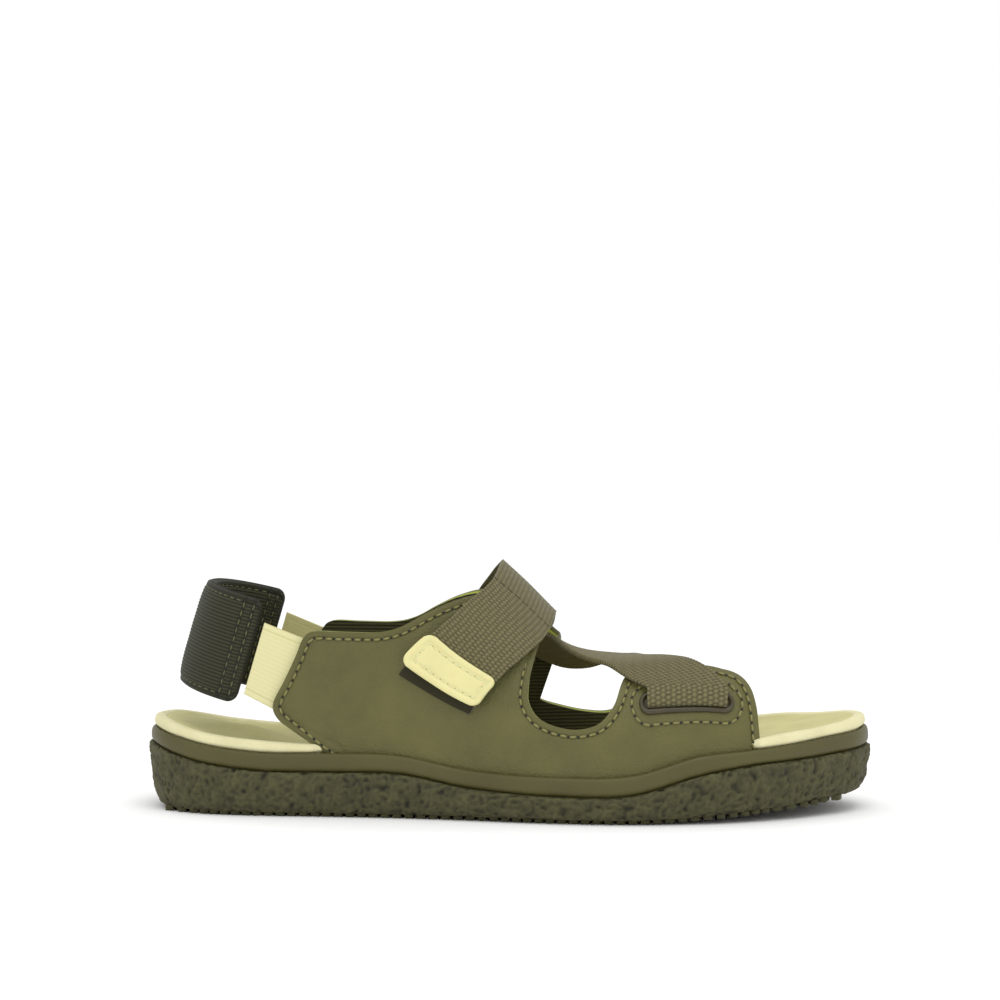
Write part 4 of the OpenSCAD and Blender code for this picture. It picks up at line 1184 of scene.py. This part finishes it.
def sew(name, lines, thread_material, hole_shade_material, stitch):
    """A line is points, up directions and whether it closes; a stitch is pitch, length and width."""
    pitch, length, width = stitch
    points, ups, edges = [], [], []
    for line_points, line_ups, closed in lines:
        first, n = len(points), len(line_points)
        points += list(line_points)
        ups += list(line_ups)
        edges += [(first + i, first + i + 1) for i in range(n - 1)]
        if closed:
            edges.append((first + n - 1, first))
    mesh = bpy.data.meshes.new(name + "_path")
    mesh.from_pydata([tuple(p * MM) for p in points], edges, [])
    up_values = mesh.attributes.new("up", "FLOAT_VECTOR", "POINT")
    up_values.data.foreach_set("vector", np.array(ups, np.float32).ravel())
    path = put_in_scene(name + "_path", mesh)
    return bake(path, stitch_tree, {
        "Pitch": pitch * MM, "Thread length": length * MM, "Thread width": width * MM,
        "Thread": thread_material, "Hole shade": hole_shade_material}, name)


def seam_line(edge, side, inset):
    """Row of points on a quarter's leather, inset from its free edge, with the normals there."""
    x, turn = panel_places(edge, 8, 40)
    turn = on_side(side, turn)
    grid = off_foot(x, turn, np.full(x.shape, STACK))
    away = edge_distance(grid)
    found = []
    for i in range(len(x)):
        order = away[i, ::-1]
        k = np.interp(inset, np.maximum.accumulate(order), np.arange(len(order)))
        j = len(order) - 1 - k
        found.append([np.interp(j, np.arange(len(order)), values) for values in (x[i], turn[i])])
    found = np.array(found)
    keep = found[(np.arange(len(found)) > 12) & (np.arange(len(found)) < len(found) - 6)]
    points = off_foot(keep[:, 0], keep[:, 1], np.full(len(keep), STACK + 0.02))
    return points, foot_normal(keep[:, 0], keep[:, 1])


lines = [(*seam_line(edge, side, SEAM_IN), False)
         for side, edge in ((OUTER, QUARTER_OUTER), (INNER, QUARTER_INNER))]
SLOT_SEAM_OUT, STRAP_REACH = 4.4, 15.5     # the seam round the outer slot stays clear of the strap
p, q = round_slot(OUTER_SLOT, OUTER_SLOT_T / 2, SLOT_SEAM_OUT)
clear_of_strap = (q < OUTER_SLOT_T) | (np.abs(p) > STRAP_REACH)
start = int(np.argmin(clear_of_strap))
order = (np.arange(len(p)) + start) % len(p)
order = order[clear_of_strap[order]]
lines.append((*by_slot(OUTER_SLOT, p[order], q[order], STACK + 0.3), False))
stand_for(sew("quarter_stitches", lines, THREAD, HOLE_SHADE, LEATHER_STITCH), "shoe", "leather")

run_line = np.linspace(TAB_SEAM, TAB_L - TAB_SEAM, 30)
side_q = TAB_HALF - TAB_SEAM
loop_run = np.concatenate([run_line, np.full(20, TAB_L - TAB_SEAM), run_line[::-1], np.full(20, TAB_SEAM)])
loop_q = np.concatenate([np.full(30, -side_q), np.linspace(-side_q, side_q, 20), np.full(30, side_q),
                         np.linspace(side_q, -side_q, 20)])
tab_line, tab_up = on_tab(loop_run, loop_q, np.full(len(loop_run), WEBBING_T + GAP + TAB_T - 0.6))
stand_for(sew("tab_stitches", [(tab_line, tab_up, True)], THREAD_CREAM, HOLE_SHADE_CREAM, TAB_STITCH),
          "flap", "tab_plastic")

def sleeve_seam(run, v, sign):
    """Line of stitches on one face of the sleeve, sunk a little into it."""
    turn = np.interp(run, heel_run, turns)
    level = mix(SLEEVE_EDGE_T, SLEEVE_HALF, sleeve_height(run, v, SLEEVE_H / 2)[3]) - 0.35
    at = heel(turn, v, sign * level)
    return at, heel(turn, v, sign * (level + 1)) - at, False


lines = []
run_line = np.linspace(9, SLEEVE_L - 9, 90)
v_line = np.linspace(-SLEEVE_H / 2 + 3.5, SLEEVE_H / 2 - 3.5, 40)
for sign in (1, -1):
    for v_row in (SLEEVE_H / 2 - SLEEVE_SEAM, SLEEVE_SEAM - SLEEVE_H / 2):
        lines.append(sleeve_seam(run_line, v_row, sign))
    for inset in END_SEAMS:
        for run_at in (inset, SLEEVE_L - inset):
            lines.append(sleeve_seam(run_at, v_line, sign))
stand_for(sew("sleeve_stitches", lines, THREAD_DARK, HOLE_SHADE, SLEEVE_STITCH), "heel_sleeve", "sleeve_fabric")

# %% [markdown]
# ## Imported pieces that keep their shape
# The board under the footbed and the two fastener patches are plain in the real sandal too, so the packed
# solids stay and only get their finishes.

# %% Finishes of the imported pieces
for node_name, material in (("insole_board", BOARD), ("hook_patch", LOOP), ("loop_patch", LOOP)):
    wear(bpy.data.objects[node_name], material)

# %% [markdown]
# ## Studio
# A white floor and a bright white surrounding give the soft contact shadow of a shop picture. One large light
# in front and above models the forms.

# %% Floor, light and camera
bpy.ops.mesh.primitive_plane_add(size=60, location=(0, 0, 0))
floor = bpy.context.object
floor.name = "studio_floor"
floor_material, _, floor_shader = new_material("matt_white_floor", 0.95)
floor_shader.inputs["Base Color"].default_value = (1, 1, 1, 1)
floor_shader.inputs["Specular IOR Level"].default_value = 0.0
wear(floor, floor_material)

world = bpy.data.worlds.new("studio")
bpy.context.scene.world = world
world.use_nodes = True
world.node_tree.nodes["Background"].inputs["Color"].default_value = (1, 1, 1, 1)
world.node_tree.nodes["Background"].inputs["Strength"].default_value = 1.0


def aim(obj, location, target):
    obj.location = location
    obj.rotation_euler = (Vector(target) - Vector(location)).to_track_quat("-Z", "Y").to_euler()


def area_light(name, location, target, size, power):
    light = bpy.data.lights.new(name, "AREA")
    light.shape, light.size, light.energy = "DISK", size, power
    aim(put_in_scene(name, light), location, target)


area_light("key_light", (0.25, -0.7, 1.5), (0, 0, 0.05), 1.0, 7)

camera_data = bpy.data.cameras.new("camera")
camera_data.lens, camera_data.sensor_width = 96.3, 36
camera_data.clip_start = 0.01
CAMERA_AT, CAMERA_TO = (0.0597, -0.9977, 0.1410), (-0.0031, 0.0, 0.11485)
camera = put_in_scene("camera", camera_data)
aim(camera, CAMERA_AT, CAMERA_TO)
bpy.context.scene.camera = camera
bpy.context.scene.view_settings.view_transform = "Standard"
